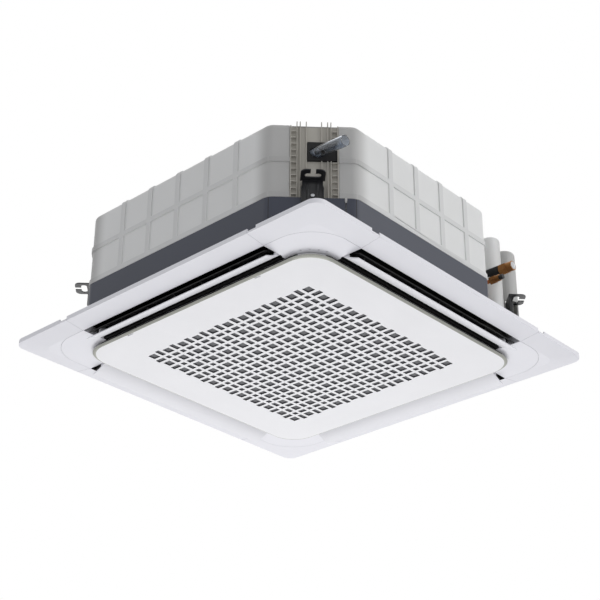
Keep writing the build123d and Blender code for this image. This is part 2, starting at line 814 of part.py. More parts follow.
with BuildPart() as casing_cover:
    add(cover_outer)
    add(rib_regions(band_top, body_top), mode=Mode.INTERSECT)
    add(cover_body)
    add(cover_room, mode=Mode.SUBTRACT)
    with BuildSketch(Plane.XY.offset(cover_top - 2 * cover_skin)):
        RectangleRounded(2 * top_opening, 2 * top_opening, top_corner_r)
    extrude(amount=hang_height, mode=Mode.SUBTRACT)
    notch_low = (chamfer_reach - notch_depth, -notch_left, band_top - 1)
    notch_size = (2 * notch_depth, notch_width, body_height)
    add(local_box(radial_plane(CORNERS["drain"]), notch_size, notch_low), mode=Mode.SUBTRACT)
    for angle in CORNERS.values():
        relief_low = (band_outer - fit_gap, -leg_half - 2, band_top - 1)
        relief_size = (2 * cover_rib, 2 * leg_half + 4, plate_sheet + 2 - relief_low[2])
        add(local_box(radial_plane(angle), relief_size, relief_low), mode=Mode.SUBTRACT)
    for passage in pipe_passage:
        add(passage, mode=Mode.SUBTRACT)
finish(casing_cover, "casing_cover")

with BuildPart() as top_plate:
    with BuildSketch(Plane.XY.offset(cover_top)):
        RectangleRounded(2 * top_plate_half, 2 * top_plate_half, top_corner_r)
    extrude(amount=sheet)
finish(top_plate, "top_plate")

# ---------------------------------------------------------------- drain corner
block_drop = 6.0
block_top = cover_top - block_drop
block_skin = 3.0
block_inner = chamfer_reach - notch_depth + fit_gap
block_face = block_inner + block_skin
cheek = 2.5
block_rib = 2.0
block_rib_depth = 5.0
rib_tip = 12.0
block_ribs = (-33.0, -26.0, -13.0, 20.0, 33.0, 40.0)
side_rib_step = 16.0
side_rib_width = 13.0

# the drain outlet: a clear socket, a black foam pad round it and a pipe behind
socket_r = 12.5
socket_wall = 1.5
socket_root_place = (-3.0, 2.0, 77.0)
socket_mouth_place = (74.5, 65.0, 61.5)
socket_overlap = 14.0
socket_root = 27.0
pipe_r = 10.1
pipe_fit = 0.05
pad_thickness = 5.0
pad_height = 47.0
pad_start = -11.0
pad_base = 54.0
outlet_gap = 0.4

drain = radial_plane(CORNERS["drain"])
socket_start, socket_end = [
    Vector(*drain.from_local_coords((block_inner + out, along, height)))
    for out, along, height in (socket_root_place, socket_mouth_place)
]
socket_axis = (socket_end - socket_start).normalized()
socket_plane = Plane(origin=socket_start, z_dir=socket_axis)
socket_length = (socket_end - socket_start).length
outlet_hole = rod(socket_plane.offset(-socket_length), (0, 0, 0), socket_r + outlet_gap, 2 * socket_length)

with BuildPart() as drain_corner_block:
    height = block_top - band_top
    start = fit_gap - notch_left
    end = notch_right - fit_gap
    add(local_box(drain, (block_skin, end - start, height), (block_inner, start, band_top)))
    for low in (start, end - cheek):
        depth = chamfer_reach - 1 - block_inner
        add(local_box(drain, (depth, cheek, height), (block_inner, low, band_top)))
    for place in block_ribs:
        size = (block_skin + block_rib_depth, block_rib, height + rib_tip)
        add(local_box(drain, size, (block_inner, place - block_rib / 2, band_top)))
    for low in (start, end - side_rib_width):
        for i in range(int(height / side_rib_step)):
            size = (block_skin + block_rib_depth + 2, side_rib_width, block_rib)
            add(local_box(drain, size, (block_inner, low, band_top + (i + 0.5) * side_rib_step)))
    pad_end = end - cheek - fit_gap
    pad_room = (chamfer_reach, pad_end - pad_start + 2 * fit_gap, pad_height + 2 * fit_gap)
    room_low = (block_face, pad_start - fit_gap, pad_base - fit_gap)
    add(local_box(drain, pad_room, room_low), mode=Mode.SUBTRACT)
    add(outlet_hole, mode=Mode.SUBTRACT)
finish(drain_corner_block, "drain_corner_block")

with BuildPart() as drain_pad:
    pad_size = (pad_thickness, pad_end - pad_start, pad_height)
    add(local_box(drain, pad_size, (block_face, pad_start, pad_base)))
    add(outlet_hole, mode=Mode.SUBTRACT)
finish(drain_pad, "drain_pad")

with BuildPart() as drain_socket:
    add(rod(socket_plane, (0, 0, 0), socket_r, socket_length))
    add(rod(socket_plane.offset(-1), (0, 0, 0), pipe_r + pipe_fit, socket_length), mode=Mode.SUBTRACT)
    mouth_plane = socket_plane.offset(socket_root)
    add(rod(mouth_plane, (0, 0, 0), socket_r - socket_wall, socket_length), mode=Mode.SUBTRACT)
finish(drain_socket, "drain_socket")

# drain pump on a shelf behind the corner block, with its float switch beside it
# places in the drain corner are (outwards, sideways)
pump_place = (449.0, 0.0)
pump_r = 17.0
pump_height = 86.0
pump_neck_r = 8.0
shelf_low = 36.0
shelf_thickness = 2.0
shelf_inner = 431.0
shelf_half = 18.0
shelf_flange = 12.0
sump_floor = band_bottom + 14.0
inlet_gap = 4.0
float_place = (446.0, -32.0)
stem_r = 3.0
collar_r = 5.0
float_r = 9.0
float_bore_r = 3.08
float_height = 14.0
float_rest = 8.0
pipe_wall = 2.0
pipe_bend_r = 13.0
pipe_knee_back = 24.0
pipe_rise = 26.0

pump_low = shelf_low - pump_height
float_low = sump_floor + float_rest

with BuildPart() as drain_pump:
    add(rod(drain.offset(pump_low), (*pump_place, 0), pump_r, pump_height))
    fillet(drain_pump.edges().filter_by(GeomType.CIRCLE), 3)
    neck_low = sump_floor + inlet_gap
    add(rod(drain.offset(neck_low), (*pump_place, 0), pump_neck_r, pump_low - neck_low + 1))
finish(drain_pump, "drain_pump")

with BuildPart() as pump_bracket:
    shelf_size = (block_inner - shelf_inner, 2 * shelf_half, shelf_thickness)
    add(local_box(drain, shelf_size, (shelf_inner, -shelf_half, shelf_low)))
    flange_low = (block_inner - shelf_thickness, -shelf_half, shelf_low)
    add(local_box(drain, (shelf_thickness, 2 * shelf_half, shelf_flange), flange_low))
    arm_half = collar_r + 2
    arm_low = (float_place[0] - arm_half, float_place[1] - arm_half, shelf_low)
    add(local_box(drain, (2 * arm_half, 2 * arm_half + shelf_half, shelf_thickness), arm_low))
    add(rod(drain, (*pump_place, 0), pipe_r + 0.3, shelf_low + 2 * shelf_thickness), mode=Mode.SUBTRACT)
    add(rod(drain.offset(float_low - fit_gap), (*float_place, 0), stem_r, shelf_low - float_low + 1))
    collar_low = float_low - fit_gap - shelf_thickness
    add(rod(drain.offset(collar_low), (*float_place, 0), collar_r, shelf_thickness))
finish(pump_bracket, "pump_bracket")

with BuildPart() as drain_float:
    add(rod(drain.offset(float_low), (*float_place, 0), float_r, float_height))
    fillet(drain_float.edges().filter_by(GeomType.CIRCLE), 2)
    float_bore = rod(drain.offset(float_low - 1), (*float_place, 0), float_bore_r, float_height + 2)
    add(float_bore, mode=Mode.SUBTRACT)
finish(drain_float, "drain_float")

pipe_foot = drain.from_local_coords((*pump_place, shelf_low))
pipe_route = [
    Vector(*pipe_foot),
    Vector(*pipe_foot) + Vector(0, 0, pipe_rise),
    socket_start - socket_axis * pipe_knee_back,
    socket_start + socket_axis * socket_overlap,
]
with BuildPart() as drain_pipe:
    with BuildLine() as route:
        FilletPolyline(*pipe_route, radius=pipe_bend_r)
    with BuildSketch(Plane(origin=pipe_route[0], z_dir=(0, 0, 1))):
        Circle(pipe_r)
        Circle(pipe_r - pipe_wall, mode=Mode.SUBTRACT)
    sweep(path=route.line)
finish(drain_pipe, "drain_pipe")

# ---------------------------------------------------------------- drain pan
pan_clear = 1.0
pan_height = 54.5
pan_opening = 286.0
pan_opening_r = 60.0
duct_inner = 366.0
duct_half = 280.0
right_duct_end = 162.0
duct_rounding = 6.0
trough_inner = 294.0
trough_outer = 356.0
trough_inner_r = 94.0
trough_outer_r = 156.0
trough_floor = band_bottom + 16.0
trough_end = 272.0
sump_r = 21.0
float_well_r = 13.0
shank_room_r = 4.0

pan_low = band_bottom + sheet
pan_top = pan_low + pan_height
pan_inset = tray_edge + pan_clear


def duct_ends(side):
    """Where an air duct starts and ends along its side, cut short beside the pocket."""
    if side == "right":
        return -duct_half, right_duct_end
    return -duct_half, duct_half


with BuildPart() as drain_pan:
    extrude(casing_outline(pan_inset, pan_low), amount=pan_height)
    with BuildSketch(Plane.XY.offset(pan_low)):
        RectangleRounded(2 * pan_opening, 2 * pan_opening, pan_opening_r)
    extrude(amount=pan_height, mode=Mode.SUBTRACT)
    for side, angle in SIDES.items():
        start, end = duct_ends(side)
        with BuildSketch(radial_plane(angle, pan_low)):
            with Locations(((duct_inner + ledge_reach) / 2, (start + end) / 2)):
                RectangleRounded(ledge_reach - duct_inner, end - start, duct_rounding)
        extrude(amount=pan_height, mode=Mode.SUBTRACT)
    with BuildSketch(Plane.XY.offset(trough_floor)):
        RectangleRounded(2 * trough_outer, 2 * trough_outer, trough_outer_r)
        RectangleRounded(2 * trough_inner, 2 * trough_inner, trough_inner_r, mode=Mode.SUBTRACT)
        with Locations((trough_outer - trough_outer_r, trough_inner)):
            length = trough_end - trough_outer + trough_outer_r
            Rectangle(length, trough_outer - trough_inner, align=(Align.MIN, Align.MIN))
    extrude(amount=pan_height, mode=Mode.SUBTRACT)
    add(rod(drain.offset(sump_floor), (*pump_place, 0), sump_r, pan_height), mode=Mode.SUBTRACT)
    add(rod(drain.offset(sump_floor), (*float_place, 0), float_well_r, pan_height), mode=Mode.SUBTRACT)
    well_length = pump_place[1] - float_place[1]
    well_low = (float_place[0] - float_well_r, float_place[1], sump_floor)
    add(local_box(drain, (2 * float_well_r, well_length, pan_height), well_low), mode=Mode.SUBTRACT)
    with BuildSketch(Plane.XY.offset(pan_low)):
        with GridLocations(2 * screw_place, 2 * screw_place, 2, 2):
            Circle(shank_room_r)
    extrude(amount=2 * shank_room_r, mode=Mode.SUBTRACT)
finish(drain_pan, "drain_pan")

# ---------------------------------------------------------------- insulation liner
liner_thickness = 12.0
liner_hole_r = 122.0
liner_window_half = 33.0
liner_window_height = 66.0

wall_inset = wall + fit_gap
room_inset = wall_inset + liner_thickness
liner_low = pan_top + fit_gap
liner_top = cover_top - cover_skin - fit_gap
room_top = liner_top - liner_thickness


with BuildPart() as insulation_liner:
    add(casing_form(wall_inset, liner_low, liner_top, cover_edge_r - cover_skin))
    add(casing_form(room_inset, liner_low - 1, room_top, 0), mode=Mode.SUBTRACT)
    add(rod(Plane.XY, (0, 0, 0), liner_hole_r, body_height), mode=Mode.SUBTRACT)
    notch_low = (chamfer_reach - notch_depth - fit_gap, -notch_left - fit_gap, liner_low - 1)
    notch_size = (2 * notch_depth, notch_width + 2 * fit_gap, body_height)
    add(local_box(drain, notch_size, notch_low), mode=Mode.SUBTRACT)
    window_low = (shelf_inner, -liner_window_half, shelf_low - 1)
    window_size = (notch_low[0] - shelf_inner + 1, 2 * liner_window_half, liner_window_height)
    add(local_box(drain, window_size, window_low), mode=Mode.SUBTRACT)
    for passage in pipe_passage:
        add(passage, mode=Mode.SUBTRACT)
finish(insulation_liner, "insulation_liner")

# ---------------------------------------------------------------- heat exchanger
coil_half = 347.0
coil_thickness = 44.0
coil_outer_r = 147.0
coil_low = trough_floor + 5.0
coil_top = room_top - fit_gap
right_arm_end = 130.0
back_arm_end = 258.0
end_plate = 2.0
tube_r = 3.5
bend_rows = 8
bend_depth = 8.0

coil_inner_half = coil_half - coil_thickness
coil_inner_r = coil_outer_r - coil_thickness
coil_middle = coil_half - coil_thickness / 2
arc_start = coil_half - coil_outer_r
bend_step = (coil_top - coil_low) / bend_rows
bend_heights = [coil_low + bend_step * (i + 0.5) for i in range(bend_rows)]
bend_half = coil_thickness / 4

with BuildPart() as coil_fins:
    with BuildSketch(Plane.XY.offset(coil_low)):
        RectangleRounded(2 * coil_half, 2 * coil_half, coil_outer_r)
        RectangleRounded(2 * coil_inner_half, 2 * coil_inner_half, coil_inner_r, mode=Mode.SUBTRACT)
        with Locations((arc_start, right_arm_end)):
            Rectangle(coil_half, coil_half, align=(Align.MIN, Align.MIN), mode=Mode.SUBTRACT)
        with Locations((arc_start, coil_inner_half)):
            Rectangle(back_arm_end - arc_start, coil_thickness, align=(Align.MIN, Align.MIN))
    extrude(amount=coil_top - coil_low)
finish(coil_fins, "coil_fins")

with BuildPart() as coil_end_plates:
    plate_rise = coil_top - trough_floor
    low = (coil_inner_half, right_arm_end, trough_floor)
    add(local_box(Plane.XY, (coil_thickness, end_plate, plate_rise), low))
    low = (back_arm_end, coil_inner_half, trough_floor)
    add(local_box(Plane.XY, (end_plate, coil_thickness, plate_rise), low))
finish(coil_end_plates, "coil_end_plates")

with BuildPart() as coil_return_bends:
    for height in bend_heights:
        bend_middle = (coil_middle, right_arm_end + end_plate, height)
        with BuildLine(Plane(origin=bend_middle, z_dir=(0, 0, 1))) as bend_path:
            Polyline((-bend_half, 0), (-bend_half, bend_depth), (bend_half, bend_depth), (bend_half, 0))
            fillet(bend_path.vertices().sort_by(Axis.Y)[-2:], bend_depth - 1)
        with BuildSketch(Plane(origin=bend_path.line @ 0, z_dir=(0, 1, 0))):
            Circle(tube_r)
        sweep(path=bend_path.line)
finish(coil_return_bends, "coil_return_bends")

# refrigerant pipes: a header at the back arm's end feeds each line
gas_header = (278.0, 300.0)
gas_header_r = 9.5
liquid_header = (294.0, 334.0)
liquid_header_r = 6.0
header_margin = 12.0
stub_r = 3.0
stub_count = 6
gas_end = 400.0
liquid_end = 392.0
stub_inset = 5.0

header_low = pan_top + header_margin
header_length = coil_top - header_margin - header_low
stub_step = header_length / stub_count
plate_face = back_arm_end + end_plate

with BuildPart() as refrigerant_pipes:
    for place, radius in ((gas_header, gas_header_r), (liquid_header, liquid_header_r)):
        add(rod(Plane.XY.offset(header_low), (*place, 0), radius, header_length))
    for i in range(stub_count):
        height = header_low + stub_step * (i + 0.5)
        for place, reach in ((gas_header, coil_inner_half + stub_inset), (liquid_header, liquid_header[1])):
            stub_plane = Plane(origin=(plate_face, reach, height), z_dir=(1, 0, 0))
            add(rod(stub_plane, (0, 0, 0), stub_r, place[0] - plate_face))
    add(rod(pipe_plane(gas_line, gas_header[0]), (0, 0, 0), gas_r, gas_end - gas_header[0]))
    with BuildLine() as liquid_route:
        corner = (liquid_header[0], liquid_line[0], liquid_line[1])
        start = (liquid_header[0], liquid_header[1], liquid_line[1])
        FilletPolyline(start, corner, (liquid_end, liquid_line[0], liquid_line[1]), radius=2 * liquid_r)
    with BuildSketch(Plane(origin=start, z_dir=(0, -1, 0))):
        Circle(liquid_r)
    sweep(path=liquid_route.line)
finish(refrigerant_pipes, "refrigerant_pipes")

# ---------------------------------------------------------------- pipe connections
sleeve_start = 336.0
sleeve_end = 382.0
gas_nut_r = 14.5
gas_nut_hex = 19.0
gas_nut_end = 417.0
gas_collar_r = 12.0
liquid_nut_start = 379.0
liquid_nut_r = 10.0
liquid_nut_hex = 14.0
liquid_nut_end = 405.0
liquid_collar_r = 8.0
cap_r = 6.0
cap_length = 10.0

with BuildPart() as flare_nuts:
    gas_nut = (gas_line, sleeve_end, gas_nut_hex, gas_nut_end, gas_nut_r, gas_collar_r, gas_r, gas_end)
    liquid_nut = (
        liquid_line,
        liquid_nut_start,
        liquid_nut_hex,
        liquid_nut_end,
        liquid_nut_r,
        liquid_collar_r,
        liquid_r,
        liquid_end,
    )
    for line, start, hex_length, end, hex_r, round_r, pipe_line_r, pipe_end in (gas_nut, liquid_nut):
        with BuildSketch(pipe_plane(line, start)):
            RegularPolygon(hex_r, 6)
        extrude(amount=hex_length)
        add(rod(pipe_plane(line, start + hex_length - 1), (0, 0, 0), round_r, end - start - hex_length + 1))
        bore = rod(pipe_plane(line, start - 1), (0, 0, 0), pipe_line_r + pipe_fit, pipe_end - start + 1)
        add(bore, mode=Mode.SUBTRACT)
finish(flare_nuts, "flare_nuts")

with BuildPart() as gas_sleeve:
    add(rod(pipe_plane(gas_line, sleeve_start), (0, 0, 0), sleeve_r, sleeve_end - sleeve_start))
    add(pipe_bore(gas_line, sleeve_start - 1, gas_r + pipe_fit), mode=Mode.SUBTRACT)
finish(gas_sleeve, "gas_sleeve")

with BuildPart() as liquid_cap:
    add(rod(pipe_plane(liquid_line, liquid_nut_end), (0, 0, 0), cap_r, cap_length))
    fillet(liquid_cap.edges().filter_by(GeomType.CIRCLE).sort_by(Axis.X)[-1], 1)
finish(liquid_cap, "liquid_cap")

# cream cover with two round lobes, standing in the pocket against the casing
lobe_skin = 3.0
lobe_strip = 12.0
lobe_start = pocket_start + pocket_rounding + 1.0
lobes = ((345.0, 305.0, 24.0), (330.0, 385.0, 27.0))
lobe_bracket_gap = 3.5
lobe_edge_r = 8.0
lobe_low = band_bottom + sheet
lobe_inner = pocket_wall + fit_gap
lobe_end = body_half - pocket_end


def lobe_plan(inset, height):
    """Plan of the lobed cover: a strip along the pocket's wall with two round bulges."""
    with BuildSketch(Plane.XY.offset(height)) as plan:
        with Locations((lobe_inner, lobe_start + inset)):
            length = lobe_end - lobe_start - 2 * inset
            Rectangle(lobe_strip - inset, length, align=(Align.MIN, Align.MIN))
        for x, y, radius in lobes:
            with Locations((x, y)):
                Circle(radius - inset)
        with Locations((lobe_inner, lobe_start)):
            Rectangle(body_half, body_half, align=(Align.MIN, Align.MIN), mode=Mode.INTERSECT)
    return plan.sketch


with BuildPart() as pipe_corner_cover:
    extrude(lobe_plan(0, lobe_low), amount=cover_top - lobe_low)
    top_edges = pipe_corner_cover.faces().sort_by(Axis.Z)[-1].edges()
    fillet(top_edges.filter_by(lambda e: (e @ 0.5).X > lobe_inner + 1), lobe_edge_r)
    room_height = cover_top - lobe_low + 1 - lobe_skin
    extrude(lobe_plan(lobe_skin, lobe_low - 1), amount=room_height, mode=Mode.SUBTRACT)
    bracket_room = (band_outer - sheet - fit_gap, -plate_half - 1, lobe_low - 1)
    bracket_size = (body_half, 2 * plate_half + 2, plate_sheet + lobe_bracket_gap - lobe_low)
    add(local_box(radial_plane(CORNERS["pipe"]), bracket_size, bracket_room), mode=Mode.SUBTRACT)
    for line, radius in ((gas_line, sleeve_r + fit_gap), (liquid_line, liquid_r + pipe_hole_gap)):
        add(pipe_bore(line, pocket_wall - 1, radius), mode=Mode.SUBTRACT)
finish(pipe_corner_cover, "pipe_corner_cover")

# ---------------------------------------------------------------- bell mouth
plate_half_width = 296.0
plate_thickness = 2.5
throat_r = 170.0
flare_r = 198.0
throat_height = -60.0
lip_height = -48.0
flare_bow = 14.0
lip_overlap = 0.5

bell_low = pan_low - plate_thickness

# control box over a window in the bell mouth's plate
box_half = 150.0
box_start = 205.0
box_end = 280.0
box_top = -92.0
box_wall = 1.5
box_rim = 6.0
lid_thickness = 1.2
board_half = 130.0
board_inset = 8.0
board_hang = 14.0
post_r = 3.0
post_places = ((-118.0, 216.0), (118.0, 216.0), (-118.0, 269.0), (118.0, 269.0))
chips = ((-80.0, 242.0, 44.0, 36.0, 16.0), (-20.0, 242.0, 26.0, 30.0, 11.0), (55.0, 242.0, 70.0, 20.0, 14.0))

box_middle = (box_start + box_end) / 2
box_depth = box_end - box_start

with BuildPart() as bell_mouth:
    with BuildSketch(Plane.XY.offset(bell_low)):
        RectangleRounded(2 * plate_half_width, 2 * plate_half_width, pan_opening_r)
        Circle(flare_r - 1, mode=Mode.SUBTRACT)
        with Locations((0, box_middle)):
            Rectangle(2 * (box_half - box_rim), box_depth - 2 * box_rim, mode=Mode.SUBTRACT)
    extrude(amount=plate_thickness)
    with BuildSketch(Plane.XZ):
        with BuildLine():
            flare = SagittaArc((flare_r, bell_low), (throat_r, throat_height), flare_bow)
            offset_flare = SagittaArc(
                (flare_r + plate_thickness, bell_low), (throat_r + plate_thickness, throat_height), flare_bow
            )
            Line(flare @ 0, offset_flare @ 0)
            Line(flare @ 1, offset_flare @ 1)
        make_face()
        with Locations((throat_r, throat_height - lip_overlap)):
            lip = lip_height - throat_height + lip_overlap
            Rectangle(plate_thickness, lip, align=(Align.MIN, Align.MIN))
    revolve(axis=Axis.Z)
finish(bell_mouth, "bell_mouth")

with BuildPart() as control_box:
    add(local_box(Plane.XY, (2 * box_half, box_depth, box_top - pan_low), (-box_half, box_start, pan_low)))
    room = (2 * (box_half - box_wall), box_depth - 2 * box_wall, box_top - pan_low)
    add(
        local_box(Plane.XY, room, (box_wall - box_half, box_start + box_wall, pan_low - box_wall)),
        mode=Mode.SUBTRACT,
    )
    for x, y in post_places:
        add(rod(Plane.XY.offset(box_top - board_hang), (x, y, 0), post_r, board_hang - box_wall / 2))
finish(control_box, "control_box")

with BuildPart() as control_box_lid:
    lid_low = (-box_half, box_start, bell_low - lid_thickness)
    add(local_box(Plane.XY, (2 * box_half, box_depth, lid_thickness), lid_low))
finish(control_box_lid, "control_box_lid")

with BuildPart() as control_board:
    board_top = box_top - board_hang
    size = (2 * board_half, box_depth - 2 * board_inset, board_thickness)
    add(local_box(Plane.XY, size, (-board_half, box_start + board_inset, board_top - board_thickness)))
    for x, y, width, depth, drop in chips:
        low = (x - width / 2, y - depth / 2, board_top - board_thickness - drop)
        add(local_box(Plane.XY, (width, depth, drop + board_thickness / 2), low))
finish(control_board, "control_board")

# ---------------------------------------------------------------- fan and motor
fan_r = 235.0
fan_back = 72.0
fan_back_thickness = 3.0
fan_skin = 2.5
mouth_r = 176.0
mouth_low = -56.0
shroud_rim_low = -36.0
blade_count = 7
blade_inner_r = 140.0
blade_outer_r = 230.0
blade_sweep = 38.0
blade_thickness = 3.0
blade_camber = 12.0
shroud_bow = -6.0
hub_r = 16.0
hub_low = -18.0
cup_r = 88.0
cup_low = 6.0
cup_bevel = 13.0
shaft_r = 5.0
shaft_low = hub_low - 9.0
nut_r = 9.0
nut_height = 8.0
motor_r = 72.0
motor_low = 20.0
motor_top = 100.0
motor_bore_r = 5.04
shaft_top = motor_top - 12.0
motor_edge_r = 6.0

blade_root = Vector(blade_inner_r, 0, 0)
blade_tip = Vector(blade_outer_r * cos(radians(blade_sweep)), -blade_outer_r * sin(radians(blade_sweep)), 0)
blade_shift = (blade_tip - blade_root).normalized().rotate(Axis.Z, 90) * blade_thickness


def shroud_arc(lift):
    """The fan shroud's section line, raised by lift."""
    return SagittaArc((mouth_r, mouth_low + lift), (fan_r, shroud_rim_low + lift), shroud_bow)


with BuildPart() as fan_wheel:
    with BuildSketch(Plane.XZ):
        with BuildLine():
            Polyline(
                (shaft_r, hub_low),
                (hub_r, hub_low),
                (hub_r, cup_low),
                (cup_r - cup_bevel, cup_low),
                (cup_r, cup_low + cup_bevel),
                (cup_r, fan_back - cup_bevel),
                (cup_r + cup_bevel, fan_back),
                (fan_r, fan_back),
                (fan_r, fan_back + fan_back_thickness),
                (cup_r + cup_bevel - fan_skin, fan_back + fan_back_thickness),
                (cup_r - fan_skin, fan_back - cup_bevel + fan_skin),
                (cup_r - fan_skin, cup_low + cup_bevel + fan_skin),
                (cup_r - cup_bevel - fan_skin, cup_low + fan_skin),
                (shaft_r, cup_low + fan_skin),
                close=True,
            )
        make_face()
    revolve(axis=Axis.Z)
    for i in range(blade_count):
        with BuildSketch(radial_plane(360 * i / blade_count, mouth_low)):
            with BuildLine():
                near = SagittaArc(blade_root, blade_tip, blade_camber)
                far = SagittaArc(blade_root + blade_shift, blade_tip + blade_shift, blade_camber)
                Line(near @ 0, far @ 0)
                Line(near @ 1, far @ 1)
            make_face()
        extrude(amount=fan_back + 1 - mouth_low)
    with BuildSketch(Plane.XZ):
        with BuildLine():
            low_line = shroud_arc(0)
            below = 2 * mouth_low
            Polyline(low_line @ 1, (2 * fan_r, shroud_rim_low), (2 * fan_r, below), (0, below))
            Polyline((0, below), (0, shroud_rim_low), (mouth_r, shroud_rim_low), low_line @ 0)
        make_face()
    revolve(axis=Axis.Z, mode=Mode.SUBTRACT)
    with BuildSketch(Plane.XZ):
        with BuildLine():
            low_line = shroud_arc(0)
            high_line = shroud_arc(fan_skin)
            Line(low_line @ 0, high_line @ 0)
            Line(low_line @ 1, high_line @ 1)
        make_face()
    revolve(axis=Axis.Z)
finish(fan_wheel, "fan_wheel")

with BuildPart() as fan_shaft:
    add(rod(Plane.XY.offset(shaft_low), (0, 0, 0), shaft_r, shaft_top - shaft_low))
finish(fan_shaft, "fan_shaft")

with BuildPart() as fan_nut:
    with BuildSketch(Plane.XY.offset(hub_low - nut_height)):
        RegularPolygon(nut_r, 6)
        Circle(shaft_r, mode=Mode.SUBTRACT)
    extrude(amount=nut_height)
finish(fan_nut, "fan_nut")

# the motor hangs on rubber grommets from a bracket under the top plate
lug_place = 60.0
lug_r = 13.0
lug_height = 4.0
lug_drop = 6.0
stud_r = 4.0
stud_gap = 0.2
grommet_r = 10.0
grommet_height = 10.0
post_outer_r = 7.0
hanger_half = 80.0
hanger_corner_r = 20.0
hanger_sheet = 2.5

lug_top = motor_top - lug_drop
grommet_top = lug_top + grommet_height

with BuildPart() as fan_motor:
    add(rod(Plane.XY.offset(motor_low), (0, 0, 0), motor_r, motor_top - motor_low))
    fillet(fan_motor.edges().filter_by(GeomType.CIRCLE), motor_edge_r)
    with BuildSketch(Plane.XY.offset(lug_top - lug_height)):
        with GridLocations(2 * lug_place, 2 * lug_place, 2, 2):
            Circle(lug_r)
    extrude(amount=lug_height)
    with BuildSketch(Plane.XY.offset(motor_low - 1)):
        Circle(motor_bore_r)
    extrude(amount=shaft_top - motor_low + 2, mode=Mode.SUBTRACT)
    with BuildSketch(Plane.XY.offset(lug_top - lug_height - 1)):
        with GridLocations(2 * lug_place, 2 * lug_place, 2, 2):
            Circle(stud_r + stud_gap)
    extrude(amount=2 * lug_height, mode=Mode.SUBTRACT)
finish(fan_motor, "fan_motor")

with BuildPart() as motor_grommets:
    with BuildSketch(Plane.XY.offset(lug_top)):
        with GridLocations(2 * lug_place, 2 * lug_place, 2, 2):
            Circle(grommet_r)
            Circle(stud_r + stud_gap, mode=Mode.SUBTRACT)
    extrude(amount=grommet_height)
finish(motor_grommets, "motor_grommets")

with BuildPart() as motor_bracket:
    with BuildSketch(Plane.XY.offset(cover_top - hanger_sheet)):
        RectangleRounded(2 * hanger_half, 2 * hanger_half, hanger_corner_r)
    extrude(amount=hanger_sheet)
    with BuildSketch(Plane.XY.offset(grommet_top)):
        with GridLocations(2 * lug_place, 2 * lug_place, 2, 2):
            Circle(post_outer_r)
    extrude(amount=cover_top - grommet_top)
    with BuildSketch(Plane.XY.offset(lug_top - 2 * lug_height)):
        with GridLocations(2 * lug_place, 2 * lug_place, 2, 2):
            Circle(stud_r)
    extrude(amount=grommet_top - lug_top + 2 * lug_height)
finish(motor_bracket, "motor_bracket")
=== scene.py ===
# %% [markdown]
# # A ceiling cassette air conditioner, dressed in Blender
# The machine hangs above a ceiling tile and shows only its white panel to the room.
# The exact solids come from the CAD frame, which fixes every size and place. This lesson
# gives each solid its real finish, rounds the edges that a mould or a press would round,
# and adds the small things that the solids leave out. All lengths are metres.

# %% Load the frame
import bpy
import json
from math import cos, pi, radians, sin
from mathutils import Matrix, Vector


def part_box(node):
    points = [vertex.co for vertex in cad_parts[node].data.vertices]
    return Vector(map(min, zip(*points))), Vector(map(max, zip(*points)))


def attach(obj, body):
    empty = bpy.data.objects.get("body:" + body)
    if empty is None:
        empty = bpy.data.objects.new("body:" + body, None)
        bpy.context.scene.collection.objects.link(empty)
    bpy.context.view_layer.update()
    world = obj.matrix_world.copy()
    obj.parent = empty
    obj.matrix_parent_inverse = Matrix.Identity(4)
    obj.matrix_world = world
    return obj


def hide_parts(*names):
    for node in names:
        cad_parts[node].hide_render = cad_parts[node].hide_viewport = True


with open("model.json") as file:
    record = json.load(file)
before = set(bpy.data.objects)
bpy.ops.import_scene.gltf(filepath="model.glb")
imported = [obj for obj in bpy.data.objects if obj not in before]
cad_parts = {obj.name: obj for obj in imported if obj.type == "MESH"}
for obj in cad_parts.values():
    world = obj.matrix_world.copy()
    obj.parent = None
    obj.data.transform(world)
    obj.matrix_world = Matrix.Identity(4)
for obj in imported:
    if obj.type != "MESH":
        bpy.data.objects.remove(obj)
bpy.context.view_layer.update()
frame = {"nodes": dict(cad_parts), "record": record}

nodes = frame["nodes"]

# %% [markdown]
# ## Colour and nodes
# Colours are easiest to pick as the hex values that a screen shows, but Blender's shaders
# work in linear light, so one function turns one into the other. A material can be wired
# by hand in the shader editor or in code. In code one more function is enough: it adds any
# node with its settings and its links in a single call, which keeps a recipe short.

# %% Colour and node helpers
def linear(hex_colour):
    """An sRGB hex colour as linear RGBA."""
    parts = [int(hex_colour[i:i + 2], 16) / 255 for i in (1, 3, 5)]
    return (*[p / 12.92 if p <= 0.04045 else ((p + 0.055) / 1.055) ** 2.4 for p in parts], 1.0)


def add_node(tree, kind, sockets=None, **settings):
    """Add a node, set its properties, then fill or link its inputs."""
    node = tree.nodes.new(kind)
    for name, value in settings.items():
        setattr(node, name, value)
    for name, value in (sockets or {}).items():
        if isinstance(value, bpy.types.NodeSocket):
            tree.links.new(value, node.inputs[name])
        else:
            node.inputs[name].default_value = value
    return node


def new_finish(name):
    """An empty material with a Principled shader; returns material, tree and shader."""
    material = bpy.data.materials.new(name)
    material.use_nodes = True
    return material, material.node_tree, material.node_tree.nodes["Principled BSDF"]


print("helpers ready")

# %% [markdown]
# ## The photograph's view
# The machine is seen from below, near corner first. A camera could be nudged until it
# looks right, but four known corners settle it: its place, its lens and a slight roll were
# worked out so that the panel's corners land where the picture has them.

# %% Camera
camera_place = Vector((2.0362, -2.2273, -1.6456))
azimuth = radians(42.494)
elevation = radians(28.385)
roll = radians(0.282)
forward = Vector((-sin(azimuth) * cos(elevation), cos(azimuth) * cos(elevation), sin(elevation)))
level = forward.cross(Vector((0, 0, 1))).normalized()
upward = level.cross(forward)
across = level * cos(roll) + upward * sin(roll)
above = upward * cos(roll) - level * sin(roll)

